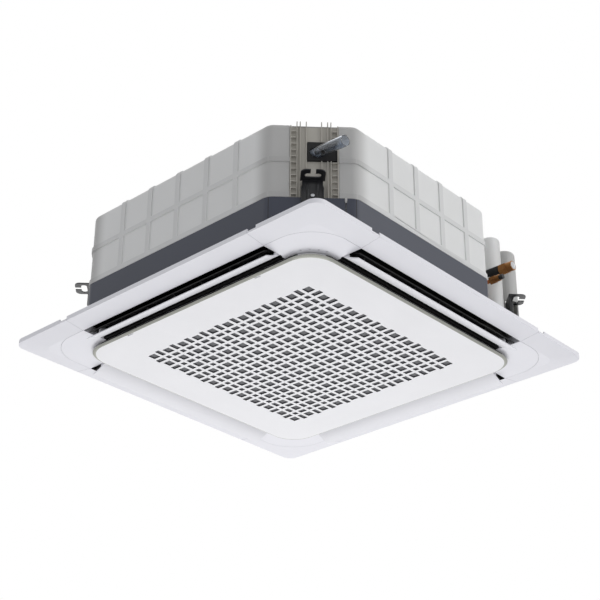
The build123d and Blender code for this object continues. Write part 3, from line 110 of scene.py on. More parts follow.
lens = bpy.data.cameras.new("photo_camera")
lens.sensor_width = 36.0
lens.lens = 85.691
lens.clip_start = 0.05
lens.clip_end = 60.0
camera = bpy.data.objects.new("photo_camera", lens)
bpy.context.scene.collection.objects.link(camera)
turned = Matrix((across, above, -forward)).transposed()
camera.matrix_world = Matrix.Translation(camera_place) @ turned.to_4x4()
bpy.context.scene.camera = camera
bpy.context.scene.view_settings.view_transform = "Standard"
print("camera at", [round(v, 3) for v in camera_place])

# %% [markdown]
# ## The surround
# A product picture is taken in a white room that lights softly from all sides. One strong
# white world would do it, but it would wash out the pale plastics. So the world lights
# with a weaker grey, and only what the camera, a gloss or a glass looks at is plain white.

# %% World
def seen_directly(tree):
    """1 for what the camera, a gloss or a glass looks at, 0 for light that scatters."""
    path = add_node(tree, "ShaderNodeLightPath").outputs
    seen = path["Is Camera Ray"]
    for kind in ("Is Glossy Ray", "Is Transmission Ray"):
        seen = add_node(tree, "ShaderNodeMath", {0: seen, 1: path[kind]}, operation="MAXIMUM").outputs[0]
    return seen


surround_strength = 0.6
world = bpy.data.worlds.new("studio_surround")
bpy.context.scene.world = world
world.use_nodes = True
sky = world.node_tree
sky.nodes.clear()
soft_grey = add_node(sky, "ShaderNodeBackground", {"Color": linear("#F7F7FA"), "Strength": surround_strength})
plain_white = add_node(sky, "ShaderNodeBackground", {"Color": (1, 1, 1, 1), "Strength": 1.0})
surround = add_node(sky, "ShaderNodeMixShader", {0: seen_directly(sky), 1: soft_grey.outputs[0],
                                                 2: plain_white.outputs[0]})
add_node(sky, "ShaderNodeOutputWorld", {"Surface": surround.outputs[0]})
print("world ready")

# %% [markdown]
# ## Lamps
# In the picture the far half of the underside is brighter than the near half, and the
# right of the casing is lighter than its left. Lamps could be tuned by eye alone. Here the
# tones of the white parts were measured in the picture and in the render, and the powers
# were changed until they came close. All four lamps are large, for soft shadows.

# %% Four soft lamps
def soft_lamp(name, place, width, power):
    """A square area lamp that faces the middle of the machine."""
    data = bpy.data.lights.new(name, "AREA")
    data.shape = "SQUARE"
    data.size = width
    data.energy = power
    lamp = bpy.data.objects.new(name, data)
    bpy.context.scene.collection.objects.link(lamp)
    facing = (-Vector(place)).to_track_quat("-Z", "Y")
    lamp.matrix_world = Matrix.Translation(place) @ facing.to_matrix().to_4x4()
    return lamp


lamps = [
    soft_lamp("key_low_far", place=(-1.8, 1.9, -2.7), width=3.0, power=60.0),
    soft_lamp("fill_low_near", place=(2.0, -2.2, -2.9), width=2.4, power=14.0),
    soft_lamp("side_right", place=(3.2, 1.1, 0.9), width=2.4, power=36.0),
    soft_lamp("top_soft", place=(-1.2, 1.4, 3.2), width=2.6, power=12.0),
]
print(len(lamps), "lamps,", sum(lamp.data.energy for lamp in lamps), "W together")

# %% [markdown]
# ## The floor
# The picture has no floor in view, because the machine is seen from underneath. The floor
# lies well below, pale and matt, so that it takes a shadow in the other views. It lies in
# half shade there, so what is seen of it directly gets a little glow on top.

# %% Floor
floor_height = -4.0
floor_width = 60.0
floor_glow = 0.3
bpy.ops.object.select_all(action="DESELECT")
bpy.ops.mesh.primitive_plane_add(size=floor_width, location=(0, 0, floor_height))
floor = bpy.context.active_object
floor.name = "studio_floor"
bpy.ops.object.transform_apply(location=True)
floor_paint, floor_tree, floor_shader = new_finish("matt white studio paint")
floor_shader.inputs["Base Color"].default_value = linear("#F2F2F2")
floor_shader.inputs["Roughness"].default_value = 0.9
floor_shader.inputs["Emission Color"].default_value = (1, 1, 1, 1)
glow = add_node(floor_tree, "ShaderNodeMath", {0: seen_directly(floor_tree), 1: floor_glow},
                operation="MULTIPLY")
floor_tree.links.new(glow.outputs[0], floor_shader.inputs["Emission Strength"])
floor.data.materials.append(floor_paint)
print("floor at", floor_height)

# %% [markdown]
# ## Moulded plastics
# Most of what shows is injection-moulded plastic. The mould is spark eroded, which leaves
# a fine even texture, and the colour drifts very slightly over a large part as the melt
# cools. A photograph of the surface could be wrapped on, but it would have to be unwrapped
# and would repeat. Noise on Object coordinates needs neither: one coarse pattern tints the
# colour and the polish, one fine pattern lifts the surface. The real grain is about
# 0.2 mm and would vanish in the picture, so it is drawn coarser.

# %% Moulded plastic recipe
grain_height = 0.0004
polish_drift = 0.05


def per_metre(size_mm):
    """The texture scale at which a pattern repeats after size_mm millimetres."""
    return 1000 / size_mm


def moulded(name, colour, shade, roughness, grain_mm=1.2, depth=0.06, drift_mm=90.0, ior=1.5):
    """Injection-moulded plastic: a slow drift between two colours and a fine grain."""
    material, tree, shader = new_finish(name)
    place = add_node(tree, "ShaderNodeTexCoord").outputs["Object"]
    drift = add_node(tree, "ShaderNodeTexNoise", {"Vector": place, "Scale": per_metre(drift_mm),
                                                  "Detail": 3.0})
    tint = add_node(tree, "ShaderNodeMix", {0: drift.outputs[0], 6: linear(colour), 7: linear(shade)},
                    data_type="RGBA")
    grain = add_node(tree, "ShaderNodeTexNoise", {"Vector": place, "Scale": per_metre(grain_mm),
                                                  "Detail": 2.0})
    polish = add_node(tree, "ShaderNodeMapRange", {"Value": drift.outputs[0], 3: roughness - polish_drift,
                                                   4: roughness + polish_drift})
    relief = add_node(tree, "ShaderNodeBump", {"Height": grain.outputs[0], "Strength": depth,
                                               "Distance": grain_height})
    tree.links.new(tint.outputs[2], shader.inputs["Base Color"])
    tree.links.new(polish.outputs[0], shader.inputs["Roughness"])
    tree.links.new(relief.outputs[0], shader.inputs["Normal"])
    shader.inputs["IOR"].default_value = ior
    return material


print("moulded plastic recipe ready")

# %% Plastics that the room sees
finishes = {
    # ABS from a spark-eroded mould: cool white, soft sheen
    "panel_white": moulded("ABS moulded cool white", "#E6E6EB", "#E2E2E7", 0.45),
    # high-impact polystyrene: a slightly warmer, flatter white
    "grille_white": moulded("polystyrene moulded white", "#ECECEE", "#E8E8EA", 0.5),
    # ABS with a finer mould finish, so the vane's edges catch the light
    "vane_white": moulded("ABS moulded fine white", "#ECECF0", "#E8E8EC", 0.35, depth=0.03),
    # talc-filled polypropylene: black and dull, it should not be noticed
    "deflector_black": moulded("polypropylene moulded black", "#0D0D0F", "#121214", 0.6),
    # polypropylene behind the lattice: dark enough to make the holes read as a pattern
    "filter_grey": moulded("polypropylene moulded dark grey", "#38393D", "#303135", 0.55),
    # polished polycarbonate: light grey dots that hide the lamps behind them
    "lens_grey": moulded("polycarbonate moulded grey", "#CBCBD0", "#C3C3C8", 0.3, depth=0.01, ior=1.58),
}
print(len(finishes), "plastics on the panel")

# %% Plastics of the casing and inside it
finishes |= {
    # thick-walled polystyrene casing: greyish cream with a soft glow
    "cover_cream": moulded("polystyrene casing cream", "#E0E1E0", "#D9DAD8", 0.5, drift_mm=160.0),
    # the same plastic in a thick block: sandier and duller
    "block_cream": moulded("polystyrene block sand", "#B3B0A8", "#A3A097", 0.6, drift_mm=60.0),
    # PVC of the pipe corner: plain grey with a little gloss
    "pipe_grey": moulded("PVC pipe grey", "#A6A8A9", "#9C9E9F", 0.4),
    # glass-filled polyester: chalky and pale
    "motor_case": moulded("polyester moulded pale grey", "#D2D2CE", "#C8C8C4", 0.45),
    # PBT of the pump: black with some shine
    "pump_black": moulded("PBT moulded black", "#1C1C1D", "#222223", 0.45),
    # uncoloured polypropylene: waxy off-white
    "float_white": moulded("polypropylene moulded natural", "#E6E4DA", "#DFDDD3", 0.4),
    # polystyrene of the bell mouth: charcoal, so the throat stays dark
    "bell_black": moulded("polystyrene moulded charcoal", "#2B2C2F", "#333437", 0.5),
    # ASA of the fan wheel: smooth off-white
    "fan_white": moulded("ASA moulded off-white", "#D9D9D6", "#D0D0CD", 0.4),
    # grommets: black rubber, rougher and with a coarser grain
    "rubber_black": moulded("moulded black rubber", "#161617", "#1F1F20", 0.62, grain_mm=2.0),
}
print(len(finishes), "moulded finishes")

# %% [markdown]
# ## Champagne lacquer
# The thin edge of the grille is ABS under a metallic lacquer: small flakes that differ in
# tone. A fully metallic shader would mirror the room too hard, so it is only partly
# metallic. Each Voronoi cell stands for a flake, and its distance value shifts the tone.
# Real flakes are finer than a hair, so they are drawn much coarser to show at all.

# %% Champagne lacquer
flake_mm = 1.5


def lacquered(name, colour, roughness):
    """ABS under a metallic lacquer: small flakes that differ in tone."""
    material, tree, shader = new_finish(name)
    place = add_node(tree, "ShaderNodeTexCoord").outputs["Object"]
    flakes = add_node(tree, "ShaderNodeTexVoronoi", {"Vector": place, "Scale": per_metre(flake_mm)})
    spread = add_node(tree, "ShaderNodeMapRange", {"Value": flakes.outputs["Distance"], 3: 0.9, 4: 1.1})
    tone = add_node(tree, "ShaderNodeHueSaturation", {"Color": linear(colour), "Saturation": 0.9,
                                                      "Value": spread.outputs[0]})
    tree.links.new(tone.outputs[0], shader.inputs["Base Color"])
    shader.inputs["Metallic"].default_value = 0.35
    shader.inputs["Roughness"].default_value = roughness
    return material


finishes["trim_champagne"] = lacquered("ABS champagne lacquer", "#A3A49B", 0.38)
print("lacquer ready")

# %% [markdown]
# ## Painted shade and a second colour on one moulding The side walls of the panel's slots get near-black painted shade, so that the gap beside a vane stays dark, and the walls of the lattice get painted shade too. A second material on chosen faces would need the CAD mesh to be cut. A region worked out from Object coordinates needs no cut: how far a point lies from the middle of the square panel, and how high. Inside the region a second colour covers the first.
# The slots of the panel have a black throat, so that the gap beside a vane stays dark, and
# the walls of the lattice are dark too: on the real unit they are sprayed, or a black part
# stands behind. A second material on chosen faces would need the CAD mesh to be cut. A
# region worked out from Object coordinates needs no cut: how far a point lies from the
# middle of the square panel, and how high. Inside the region a second colour covers the
# first.

# %% Regions of the square machine
def square_place(tree):
    """Distance from the middle along the farther axis and the nearer one, then y and z."""
    place = add_node(tree, "ShaderNodeTexCoord").outputs["Object"]
    apart = add_node(tree, "ShaderNodeSeparateXYZ", {0: place}).outputs
    away = add_node(tree, "ShaderNodeVectorMath", {0: place}, operation="ABSOLUTE")
    each = add_node(tree, "ShaderNodeSeparateXYZ", {0: away.outputs[0]}).outputs
    farther = add_node(tree, "ShaderNodeMath", {0: each["X"], 1: each["Y"]}, operation="MAXIMUM")
    nearer = add_node(tree, "ShaderNodeMath", {0: each["X"], 1: each["Y"]}, operation="MINIMUM")
    return farther.outputs[0], nearer.outputs[0], apart["Y"], apart["Z"]


def region(tree, *limits):
    """1 where each value is above its low and below its high limit (None: no limit), else 0."""
    inside = None
    for value, low, high in limits:
        for limit, operation in ((low, "GREATER_THAN"), (high, "LESS_THAN")):
            if limit is None:
                continue
            met = add_node(tree, "ShaderNodeMath", {0: value, 1: limit}, operation=operation).outputs[0]
            if inside is not None:
                met = add_node(tree, "ShaderNodeMath", {0: inside, 1: met}, operation="MULTIPLY").outputs[0]
            inside = met
    return inside


def cover_with(material, amount, colour):
    """Put a second colour over the first, as much as amount says."""
    tree = material.node_tree
    shader = tree.nodes["Principled BSDF"]
    below = shader.inputs["Base Color"].links[0].from_socket
    coat = add_node(tree, "ShaderNodeMix", {0: amount, 6: below, 7: linear(colour)}, data_type="RGBA")
    tree.links.new(coat.outputs[2], shader.inputs["Base Color"])


print("regions ready")

# %% Painted shade in the throats, and pale lugs of the panel
throat_painted_shade = "#0B0B0C"
lug_tone = "#B4B5A8"
slot_inner_edge = 0.3575
slot_outer_edge = 0.4254
throat_half_length = 0.2806
trim_back = -0.1694
panel = finishes["panel_white"]
panel_tree = panel.node_tree
far_side, near_side, _, height = square_place(panel_tree)
throat = ((far_side, slot_inner_edge, slot_outer_edge), (near_side, None, throat_half_length))
# painted shade: the slots' side walls are coloured near black where only shade falls
cover_with(panel, region(panel_tree, *throat), throat_painted_shade)
cover_with(panel, region(panel_tree, *throat, (height, None, trim_back)), lug_tone)
print("throats painted")

# %% [markdown]
# ## Seams of the corner covers
# Each corner of the panel is a loose cover, with a straight seam on each side and a curved
# one round its screw. The gaps are 0.4 mm wide and would fall between the pixels, so they
# are drawn wider and paler. The curved seam is found by its distance from one centre;
# beyond the centre the seam runs straight, so there only the farther distance counts.

# %% Seams of the corner covers
seam_grey = "#C3C3C9"
side_seam_edges = (0.2838, 0.2849)
seam_centre = 0.328
arc_seam_radii = (0.0967, 0.0978)
corner_point = add_node(panel_tree, "ShaderNodeCombineXYZ", {"X": far_side, "Y": near_side})
past_centre = add_node(panel_tree, "ShaderNodeVectorMath",
                       {0: corner_point.outputs[0], 1: (0, seam_centre, 0)}, operation="MAXIMUM")
arc_reach = add_node(panel_tree, "ShaderNodeVectorMath",
                     {0: past_centre.outputs[0], 1: (seam_centre, seam_centre, 0)},
                     operation="DISTANCE").outputs["Value"]
side_seam = region(panel_tree, (far_side, slot_outer_edge, None), (near_side, *side_seam_edges))
arc_seam = region(panel_tree, (arc_reach, *arc_seam_radii), (near_side, side_seam_edges[1], None))
cover_with(panel, side_seam, seam_grey)
cover_with(panel, arc_seam, seam_grey)
print("seams painted")

# %% Painted shade on the lattice walls and the skirt, and pale ears of the grille
lattice_painted_shade = "#2A2B2E"
lattice_half = 0.2585
hole_depth = -0.1747
skirt_start = 0.355
skirt_height = -0.1695
ear_start = -0.3585
grille = finishes["grille_white"]
grille_tree = grille.node_tree
far_side, _, along_y, height = square_place(grille_tree)
hole_walls = region(grille_tree, (far_side, None, lattice_half), (height, hole_depth, None))
skirt = region(grille_tree, (far_side, skirt_start, None), (height, skirt_height, None))
ears = region(grille_tree, (along_y, None, ear_start), (height, None, trim_back))
# painted shade on the lattice's hole walls and on the skirt above the edge; the ears take the edge's own pale
# colour
for place, tone in ((hole_walls, lattice_painted_shade), (skirt, throat_painted_shade), (ears, lug_tone)):
    cover_with(grille, place, tone)
print("lattice painted")

# %% [markdown]
# ## The casing's ribs and corners, with painted shade
# The raised ribs of the casing cover get a slightly greyer tint, and its chamfered corners
# darken smoothly by their place: painted shade where these faces take less light. The
# cover is thin polystyrene, so a little subsurface scattering softens the steps between
# them.

# %% Painted shade on the ribs and corners of the casing
rib_face = 0.4183
rib_face_end = 0.43
corner_rib_face = 0.7035
corner_rib_end = 0.72
corner_start = 0.655
corner_full = 0.7
corner_shade_amount = 0.62
casing = finishes["cover_cream"]
casing_tree = casing.node_tree
far_side, near_side = square_place(casing_tree)[:2]
corner_reach = add_node(casing_tree, "ShaderNodeMath", {0: far_side, 1: near_side},
                        operation="ADD").outputs[0]
# painted shade: the rib faces are tinted greyer than the cells
for rib in ((far_side, rib_face, rib_face_end), (corner_reach, corner_rib_face, corner_rib_end)):
    cover_with(casing, region(casing_tree, rib), "#D0D1D0")
# painted shade: the chamfered corners darken smoothly towards the chamfer
corner_painted_shade = add_node(casing_tree, "ShaderNodeMapRange", {"Value": corner_reach, 1: corner_start, 2: corner_full,
                                                     3: 0.0, 4: corner_shade_amount},
                 interpolation_type="SMOOTHSTEP")
cover_with(casing, corner_painted_shade.outputs[0], "#8F8E8C")
casing_skin = casing_tree.nodes["Principled BSDF"]
casing_skin.inputs["Subsurface Weight"].default_value = 0.5
casing_skin.inputs["Subsurface Radius"].default_value = (1.0, 1.0, 0.95)
casing_skin.inputs["Subsurface Scale"].default_value = 0.006
print("casing painted")

# %% [markdown]
# ## The filter's net
# The filter is a frame with a net woven from thread. Threads as meshes would be many
# thousands of faces that nobody sees one by one. Two wave patterns at right angles show
# the same: where either is high there is thread, elsewhere a dark hole. They cover only
# the flat sheet at the net's own height. The real mesh is about 1 mm, drawn coarser here.

# %% Woven net
net_pitch = 0.0045
thread_share = 0.72
net_margin = 0.0001
# a Wave texture at scale 1 repeats 20 / (2 pi) times in a metre
wave_turns = 20 / (2 * pi)
net = finishes["filter_grey"]
net_tree = net.node_tree
height = square_place(net_tree)[3]
net_place = add_node(net_tree, "ShaderNodeTexCoord").outputs["Object"]
wave_scale = 1 / wave_turns / net_pitch
warp, weft = [add_node(net_tree, "ShaderNodeTexWave", {"Vector": net_place, "Scale": wave_scale},
                       bands_direction=direction).outputs["Fac"] for direction in ("X", "Y")]
weave = add_node(net_tree, "ShaderNodeMath", {0: warp, 1: weft}, operation="MAXIMUM").outputs[0]
net_low, net_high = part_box("filter_mesh")
sheet = (height, net_low[2] - net_margin, net_high[2] + net_margin)
cover_with(net, region(net_tree, sheet), "#2A2B2E")
cover_with(net, region(net_tree, sheet, (weave, thread_share, None)), "#4B4C51")
print("net of", net_pitch, "m mesh")

# %% [markdown]
# ## Metals
# The band round the casing and the hanger brackets are steel with a coat, whose surface
# flows into a faint orange peel. Plain sheet is zinc coated and shows crystals, the
# spangles. Copper, brass and aluminium keep their own colour. One recipe with many
# switches could serve for all; three short ones are easier to follow. Uncoated metals are
# fully metallic and keep the default IOR, a coat is not metallic at all.

# %% Coated and bare metals
coat_drift_mm = 140
peel_height = 0.0005
peel_strength = 0.12
stain_polish = 0.08
crystal_polish = 0.1


def powder_coated(name, colour, shade, roughness, peel_mm=2.5, shine=0.5):
    """Powder coat on steel: a dielectric skin with an orange-peel surface."""
    material, tree, shader = new_finish(name)
    place = add_node(tree, "ShaderNodeTexCoord").outputs["Object"]
    drift = add_node(tree, "ShaderNodeTexNoise", {"Vector": place, "Scale": per_metre(coat_drift_mm),
                                                  "Detail": 2.0})
    tint = add_node(tree, "ShaderNodeMix", {0: drift.outputs[0], 6: linear(colour), 7: linear(shade)},
                    data_type="RGBA")
    peel = add_node(tree, "ShaderNodeTexNoise", {"Vector": place, "Scale": per_metre(peel_mm), "Detail": 1.0})
    relief = add_node(tree, "ShaderNodeBump", {"Height": peel.outputs[0], "Strength": peel_strength,
                                               "Distance": peel_height})
    tree.links.new(tint.outputs[2], shader.inputs["Base Color"])
    tree.links.new(relief.outputs[0], shader.inputs["Normal"])
    shader.inputs["Roughness"].default_value = roughness
    shader.inputs["Specular IOR Level"].default_value = shine
    return material


def bare_metal(name, colour, shade, roughness, stain_mm=25.0):
    """Uncoated metal: its own colour and polish with a slow stain."""
    material, tree, shader = new_finish(name)
    place = add_node(tree, "ShaderNodeTexCoord").outputs["Object"]
    stain = add_node(tree, "ShaderNodeTexNoise", {"Vector": place, "Scale": per_metre(stain_mm),
                                                  "Detail": 4.0})
    tint = add_node(tree, "ShaderNodeMix", {0: stain.outputs[0], 6: linear(colour), 7: linear(shade)},
                    data_type="RGBA")
    polish = add_node(tree, "ShaderNodeMapRange", {"Value": stain.outputs[0], 3: roughness - stain_polish,
                                                   4: roughness + stain_polish})
    tree.links.new(tint.outputs[2], shader.inputs["Base Color"])
    tree.links.new(polish.outputs[0], shader.inputs["Roughness"])
    shader.inputs["Metallic"].default_value = 1.0
    return material


def spangled(name, colour, shade, roughness, spangle_mm):
    """Zinc-coated sheet: flat crystals that differ in tone and polish."""
    material, tree, shader = new_finish(name)
    place = add_node(tree, "ShaderNodeTexCoord").outputs["Object"]
    crystals = add_node(tree, "ShaderNodeTexVoronoi", {"Vector": place, "Scale": per_metre(spangle_mm)})
    crystal = crystals.outputs["Color"]
    tint = add_node(tree, "ShaderNodeMix", {0: crystal, 6: linear(colour), 7: linear(shade)},
                    data_type="RGBA")
    polish = add_node(tree, "ShaderNodeMapRange", {"Value": crystal, 3: roughness - crystal_polish,
                                                   4: roughness + crystal_polish})
    tree.links.new(tint.outputs[2], shader.inputs["Base Color"])
    tree.links.new(polish.outputs[0], shader.inputs["Roughness"])
    shader.inputs["Metallic"].default_value = 1.0
    return material


print("metal recipes ready")

# %% Metals of the machine
finishes |= {
    # polyester powder coat: slate, satin, a touch blue
    "slate_steel": powder_coated("powder-coated steel slate", "#3C404D", "#373B47", 0.4, shine=0.34),
    # dipped and baked: a thin black coat that follows the pressing
    "bracket_steel": powder_coated("electro-coated steel black", "#17181B", "#1E1F22", 0.34, shine=0.4),
    # sprayed enamel: plain mid grey
    "motor_steel": powder_coated("enamelled steel grey", "#6A6C70", "#626468", 0.4),
    # hot-dipped sheet: pale, with quiet spangles
    "zinc_steel": spangled("zinc-coated steel sheet", "#C2C5C8", "#B6B9BD", 0.42, spangle_mm=7.0),
    # plated fasteners: bright, a little cloudy
    "bolt_steel": bare_metal("zinc-plated bolt steel", "#B6B8BB", "#96989C", 0.35),
    # ground steel: the smoothest metal here
    "shaft_steel": bare_metal("ground shaft steel", "#C0C1C3", "#AEB0B3", 0.2),
    # rolled sheet with a clear coat: soft and even
    "fin_aluminium": bare_metal("coated fin aluminium", "#C9CCCF", "#BDC0C4", 0.45),
    # drawn tube, browned by the flame where it was brazed
    "copper": bare_metal("drawn copper", "#C77B52", "#9C5636", 0.33),
    # forged and tumbled: dark in the hollows
    "nut_brass": bare_metal("forged brass", "#A8784A", "#6E4828", 0.36),
}
print(len(finishes), "finishes so far")

# %% [markdown]
# ## Foams and felt
# The drain pan is expanded polystyrene, pressed from beads about 4 mm wide. The black pad
# is closed-cell rubber foam, and the liner is felt. Modelled beads would be far too many.
# A Voronoi pattern has the same look: round cells that touch, high in the middle and dark
# where they meet.

# %% Foams and felt
bead_height = 0.001


def foam(name, colour, shade, bead_mm, depth):
    """Pressed beads or tufts, lighter on top and darker between."""
    material, tree, shader = new_finish(name)
    place = add_node(tree, "ShaderNodeTexCoord").outputs["Object"]
    beads = add_node(tree, "ShaderNodeTexVoronoi", {"Vector": place, "Scale": per_metre(bead_mm)})
    from_middle = beads.outputs["Distance"]
    tint = add_node(tree, "ShaderNodeMix", {0: from_middle, 6: linear(colour), 7: linear(shade)},
                    data_type="RGBA")
    relief = add_node(tree, "ShaderNodeBump", {"Height": from_middle, "Strength": depth,
                                               "Distance": bead_height}, invert=True)
    tree.links.new(tint.outputs[2], shader.inputs["Base Color"])
    tree.links.new(relief.outputs[0], shader.inputs["Normal"])
    shader.inputs["Roughness"].default_value = 0.85
    return material


finishes |= {
    # closed cells, drawn coarser than the real half millimetre: nearly black, no gloss
    "foam_black": foam("closed-cell rubber foam", "#070708", "#101011", 1.6, 0.4),
    # big pressed beads: white and matt
    "foam_white": foam("expanded polystyrene", "#EDEDEA", "#D8D8D4", 4.0, 0.4),
    # tufts of fibre: grey and dull
    "liner_grey": foam("polyester felt", "#B2B3B5", "#9B9C9E", 2.0, 0.5),
}
print("foams ready")

# %% [markdown]
# ## Painted shade in the air ducts
# Behind the slots the air comes down through the drain pan and past the steel frame.
# Nothing can be made out there, so these walls get near-black painted shade, by the same
# kind of region as the throats: a ring at the slots' distance, as long as the slots.

# %% Painted shade on the walls in the ducts
duct_half_length = 0.2865
duct_painted_shade = "#0C0C0D"
walls_in_pan = (0.355, 0.43)
walls_in_band = (0.2, 0.4165)
# painted shade: the duct walls in the drain pan and the steel band are coloured near black
for name, (nearest, farthest) in (("foam_white", walls_in_pan), ("slate_steel", walls_in_band)):
    duct_tree = finishes[name].node_tree
    far_side, near_side = square_place(duct_tree)[:2]
    duct = region(duct_tree, (far_side, nearest, farthest), (near_side, None, duct_half_length))
    cover_with(finishes[name], duct, duct_painted_shade)
print("ducts darkened")

# %% [markdown]
# ## Clear socket and circuit board
# The drain socket is clear PVC, which looks faintly blue where it is thick: full
# transmission, a low roughness and PVC's IOR are all it needs. The board is glass epoxy
# under green solder mask, and a fine brick pattern stands for its traces.

# %% Clear plastic and board
socket_plastic, _, socket_shader = new_finish("clear PVC hose")
for setting, value in (("Base Color", linear("#CDD4DE")), ("Roughness", 0.08), ("Transmission Weight", 1.0),
                       ("IOR", 1.53)):
    socket_shader.inputs[setting].default_value = value
finishes["clear_tube"] = socket_plastic

traces_per_metre = 60.0
board, board_tree, board_shader = new_finish("glass epoxy board with solder mask")
board_place = add_node(board_tree, "ShaderNodeTexCoord").outputs["Object"]
traces = add_node(board_tree, "ShaderNodeTexBrick", {"Vector": board_place, "Color1": linear("#1F6B3C"),
                  "Color2": linear("#1A5D34"), "Mortar": linear("#2F8A52"), "Scale": traces_per_metre})
board_tree.links.new(traces.outputs["Color"], board_shader.inputs["Base Color"])
board_shader.inputs["Roughness"].default_value = 0.3
finishes["board_green"] = board
print(len(finishes), "finishes")

# %% [markdown]
# ## Dressing the frame
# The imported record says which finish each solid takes, so the dressing is one loop and not
# a list written by hand. A CAD node keeps its mesh, and only its material slots are filled.

# %% Put each finish on its solids
slot_of = {part["node"]: part["material_slot"] for part in frame["record"]["subparts"]}
for name, node in nodes.items():
    node.data.materials.clear()
    node.data.materials.append(finishes[slot_of[name]])
print("dressed", len(nodes), "solids")

# %% [markdown]
# ## Softened edges
# A solid from CAD has knife edges, but every moulded or pressed part has small radii, and
# they are what catches the light. A Bevel node in the material would fake them only in
# this renderer. Here a copy of the solid is merged, its flat faces are joined again, and
# the edges are bevelled by the radius that such a part has. Weighted normals keep the
# large faces looking flat right up to the bevel. The copy then stands for the solid,
# which stays in the frame only for collision.

# %% A softened copy of a solid
merge_distance = 0.00001
flat_angle = radians(1.0)
smooth_angle = radians(30.0)
bodies = frame["record"]["behaviour"]["bodies"]
body_of_node = {node: body for body, parts in bodies.items() for node in parts}


def softened(name, radius, segments, angle=28.0, clamp=True):
    """A copy of a solid with rounded edges, which takes its place."""
    bpy.ops.object.select_all(action="DESELECT")
    piece = bpy.data.objects.new(name + "_soft", nodes[name].data.copy())
    bpy.context.scene.collection.objects.link(piece)
    piece.select_set(True)
    bpy.context.view_layer.objects.active = piece
    bpy.ops.object.mode_set(mode="EDIT")
    bpy.ops.mesh.select_all(action="SELECT")
    bpy.ops.mesh.remove_doubles(threshold=merge_distance)
    bpy.ops.mesh.dissolve_limited(angle_limit=flat_angle, delimit=set())
    bpy.ops.object.mode_set(mode="OBJECT")
    edge = piece.modifiers.new("edge", "BEVEL")
    edge.width = radius
    edge.segments = segments
    edge.limit_method = "ANGLE"
    edge.angle_limit = radians(angle)
    edge.miter_outer = "MITER_ARC"
    edge.use_clamp_overlap = clamp
    bpy.ops.object.modifier_apply(modifier="edge")
    bpy.ops.object.shade_smooth_by_angle(angle=smooth_angle)
    level_normals = piece.modifiers.new("level", "WEIGHTED_NORMAL")
    level_normals.keep_sharp = True
    bpy.ops.object.modifier_apply(modifier="level")
    piece.data.materials.clear()
    piece.data.materials.append(finishes[slot_of[name]])
    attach(piece, body_of_node[name])
    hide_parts(name)
    return piece


print("softening ready")

# %% The parts whose edges show
corners = ("drain", "pipe", "left_back", "left_front")
sides = ("right", "back", "left", "front")
radius_and_segments = {
    "pipe_corner_cover": (0.0015, 3),
    "drain_corner_block": (0.0005, 2),
    "base_frame": (0.0006, 2),
    "panel_frame": (0.0004, 2),
}
radius_and_segments |= {"hanger_bracket_" + corner: (0.0007, 3) for corner in corners}
radius_and_segments |= {"vane_" + side: (0.0004, 2) for side in sides}
# the cover's ribs are thin, so their bevels are let run into each other
cover = softened("casing_cover", 0.0014, 3, clamp=False)
for name, (radius, segments) in radius_and_segments.items():
    softened(name, radius, segments)
print("softened", 1 + len(radius_and_segments), "parts; casing cover has", len(cover.data.polygons), "faces")

# %% [markdown]
# ## The champagne edge
# A thin lacquered band runs round the grille, a little wider at its back than at its face,
# so a line of it shows on all four sides. A curve with a bevelled profile could make it.
# Extruding an outline edge by edge, and widening it at each step, keeps every rounded
# corner in step with the grille's. The last edge is bridged back to the first, which
# closes the ring.

# %% Finished pieces
def begin_piece(name):
    """Name the object that was just added."""
    piece = bpy.context.active_object
    piece.name = name
    piece.data.name = name
    return piece


def finish_piece(piece, slot, body, smooth=30.0, replaced=()):
    """Put the piece's place into its mesh, turn its faces outwards and hand it over."""
    bpy.ops.object.select_all(action="DESELECT")
    piece.select_set(True)
    bpy.context.view_layer.objects.active = piece
    bpy.ops.object.transform_apply(location=True, rotation=True, scale=True)
    bpy.ops.object.mode_set(mode="EDIT")
    bpy.ops.mesh.select_all(action="SELECT")
    bpy.ops.mesh.normals_make_consistent(inside=False)
    bpy.ops.object.mode_set(mode="OBJECT")
    bpy.ops.object.shade_smooth_by_angle(angle=radians(smooth))
    piece.data.materials.clear()
    piece.data.materials.append(finishes[slot])
    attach(piece, body)
    for node in replaced:
        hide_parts(node)
    return piece


print("piece helpers ready")

# %% Champagne edge
ring_half = 0.3573
ring_corner_radius = 0.0638
ring_corner_segments = 14
ring_start = -0.1748
bpy.ops.object.select_all(action="DESELECT")
bpy.ops.mesh.primitive_plane_add(size=2 * ring_half, location=(0, 0, ring_start))
ring = begin_piece("grille_champagne_edge")
bpy.ops.object.mode_set(mode="EDIT")
bpy.ops.mesh.select_all(action="SELECT")
bpy.ops.mesh.bevel(offset=ring_corner_radius, segments=ring_corner_segments, affect="VERTICES")
bpy.ops.mesh.select_all(action="SELECT")
bpy.ops.mesh.delete(type="ONLY_FACE")
bpy.ops.mesh.select_all(action="SELECT")
# each step: half width, and height above the start
edge_steps = ((0.3588, -0.0002), (0.3628, 0.0028), (0.3636, 0.0036), (0.3632, 0.0048),
              (0.3590, 0.0050), (0.3573, 0.0036))
reach_now, rise_now = ring_half, 0.0
for reach, rise in edge_steps:
    bpy.ops.mesh.extrude_edges_move()
    bpy.ops.transform.translate(value=(0, 0, rise - rise_now))
    bpy.ops.transform.resize(value=(reach / reach_now, reach / reach_now, 1), center_override=(0, 0, 0))
    reach_now, rise_now = reach, rise
bpy.ops.mesh.select_all(action="SELECT")
bpy.ops.mesh.select_non_manifold(extend=False)
bpy.ops.mesh.bridge_edge_loops()
bpy.ops.object.mode_set(mode="OBJECT")
finish_piece(ring, "trim_champagne", "grille", smooth=40.0, replaced=["grille_edge_trim"])
print("champagne edge", len(ring.data.polygons), "faces")

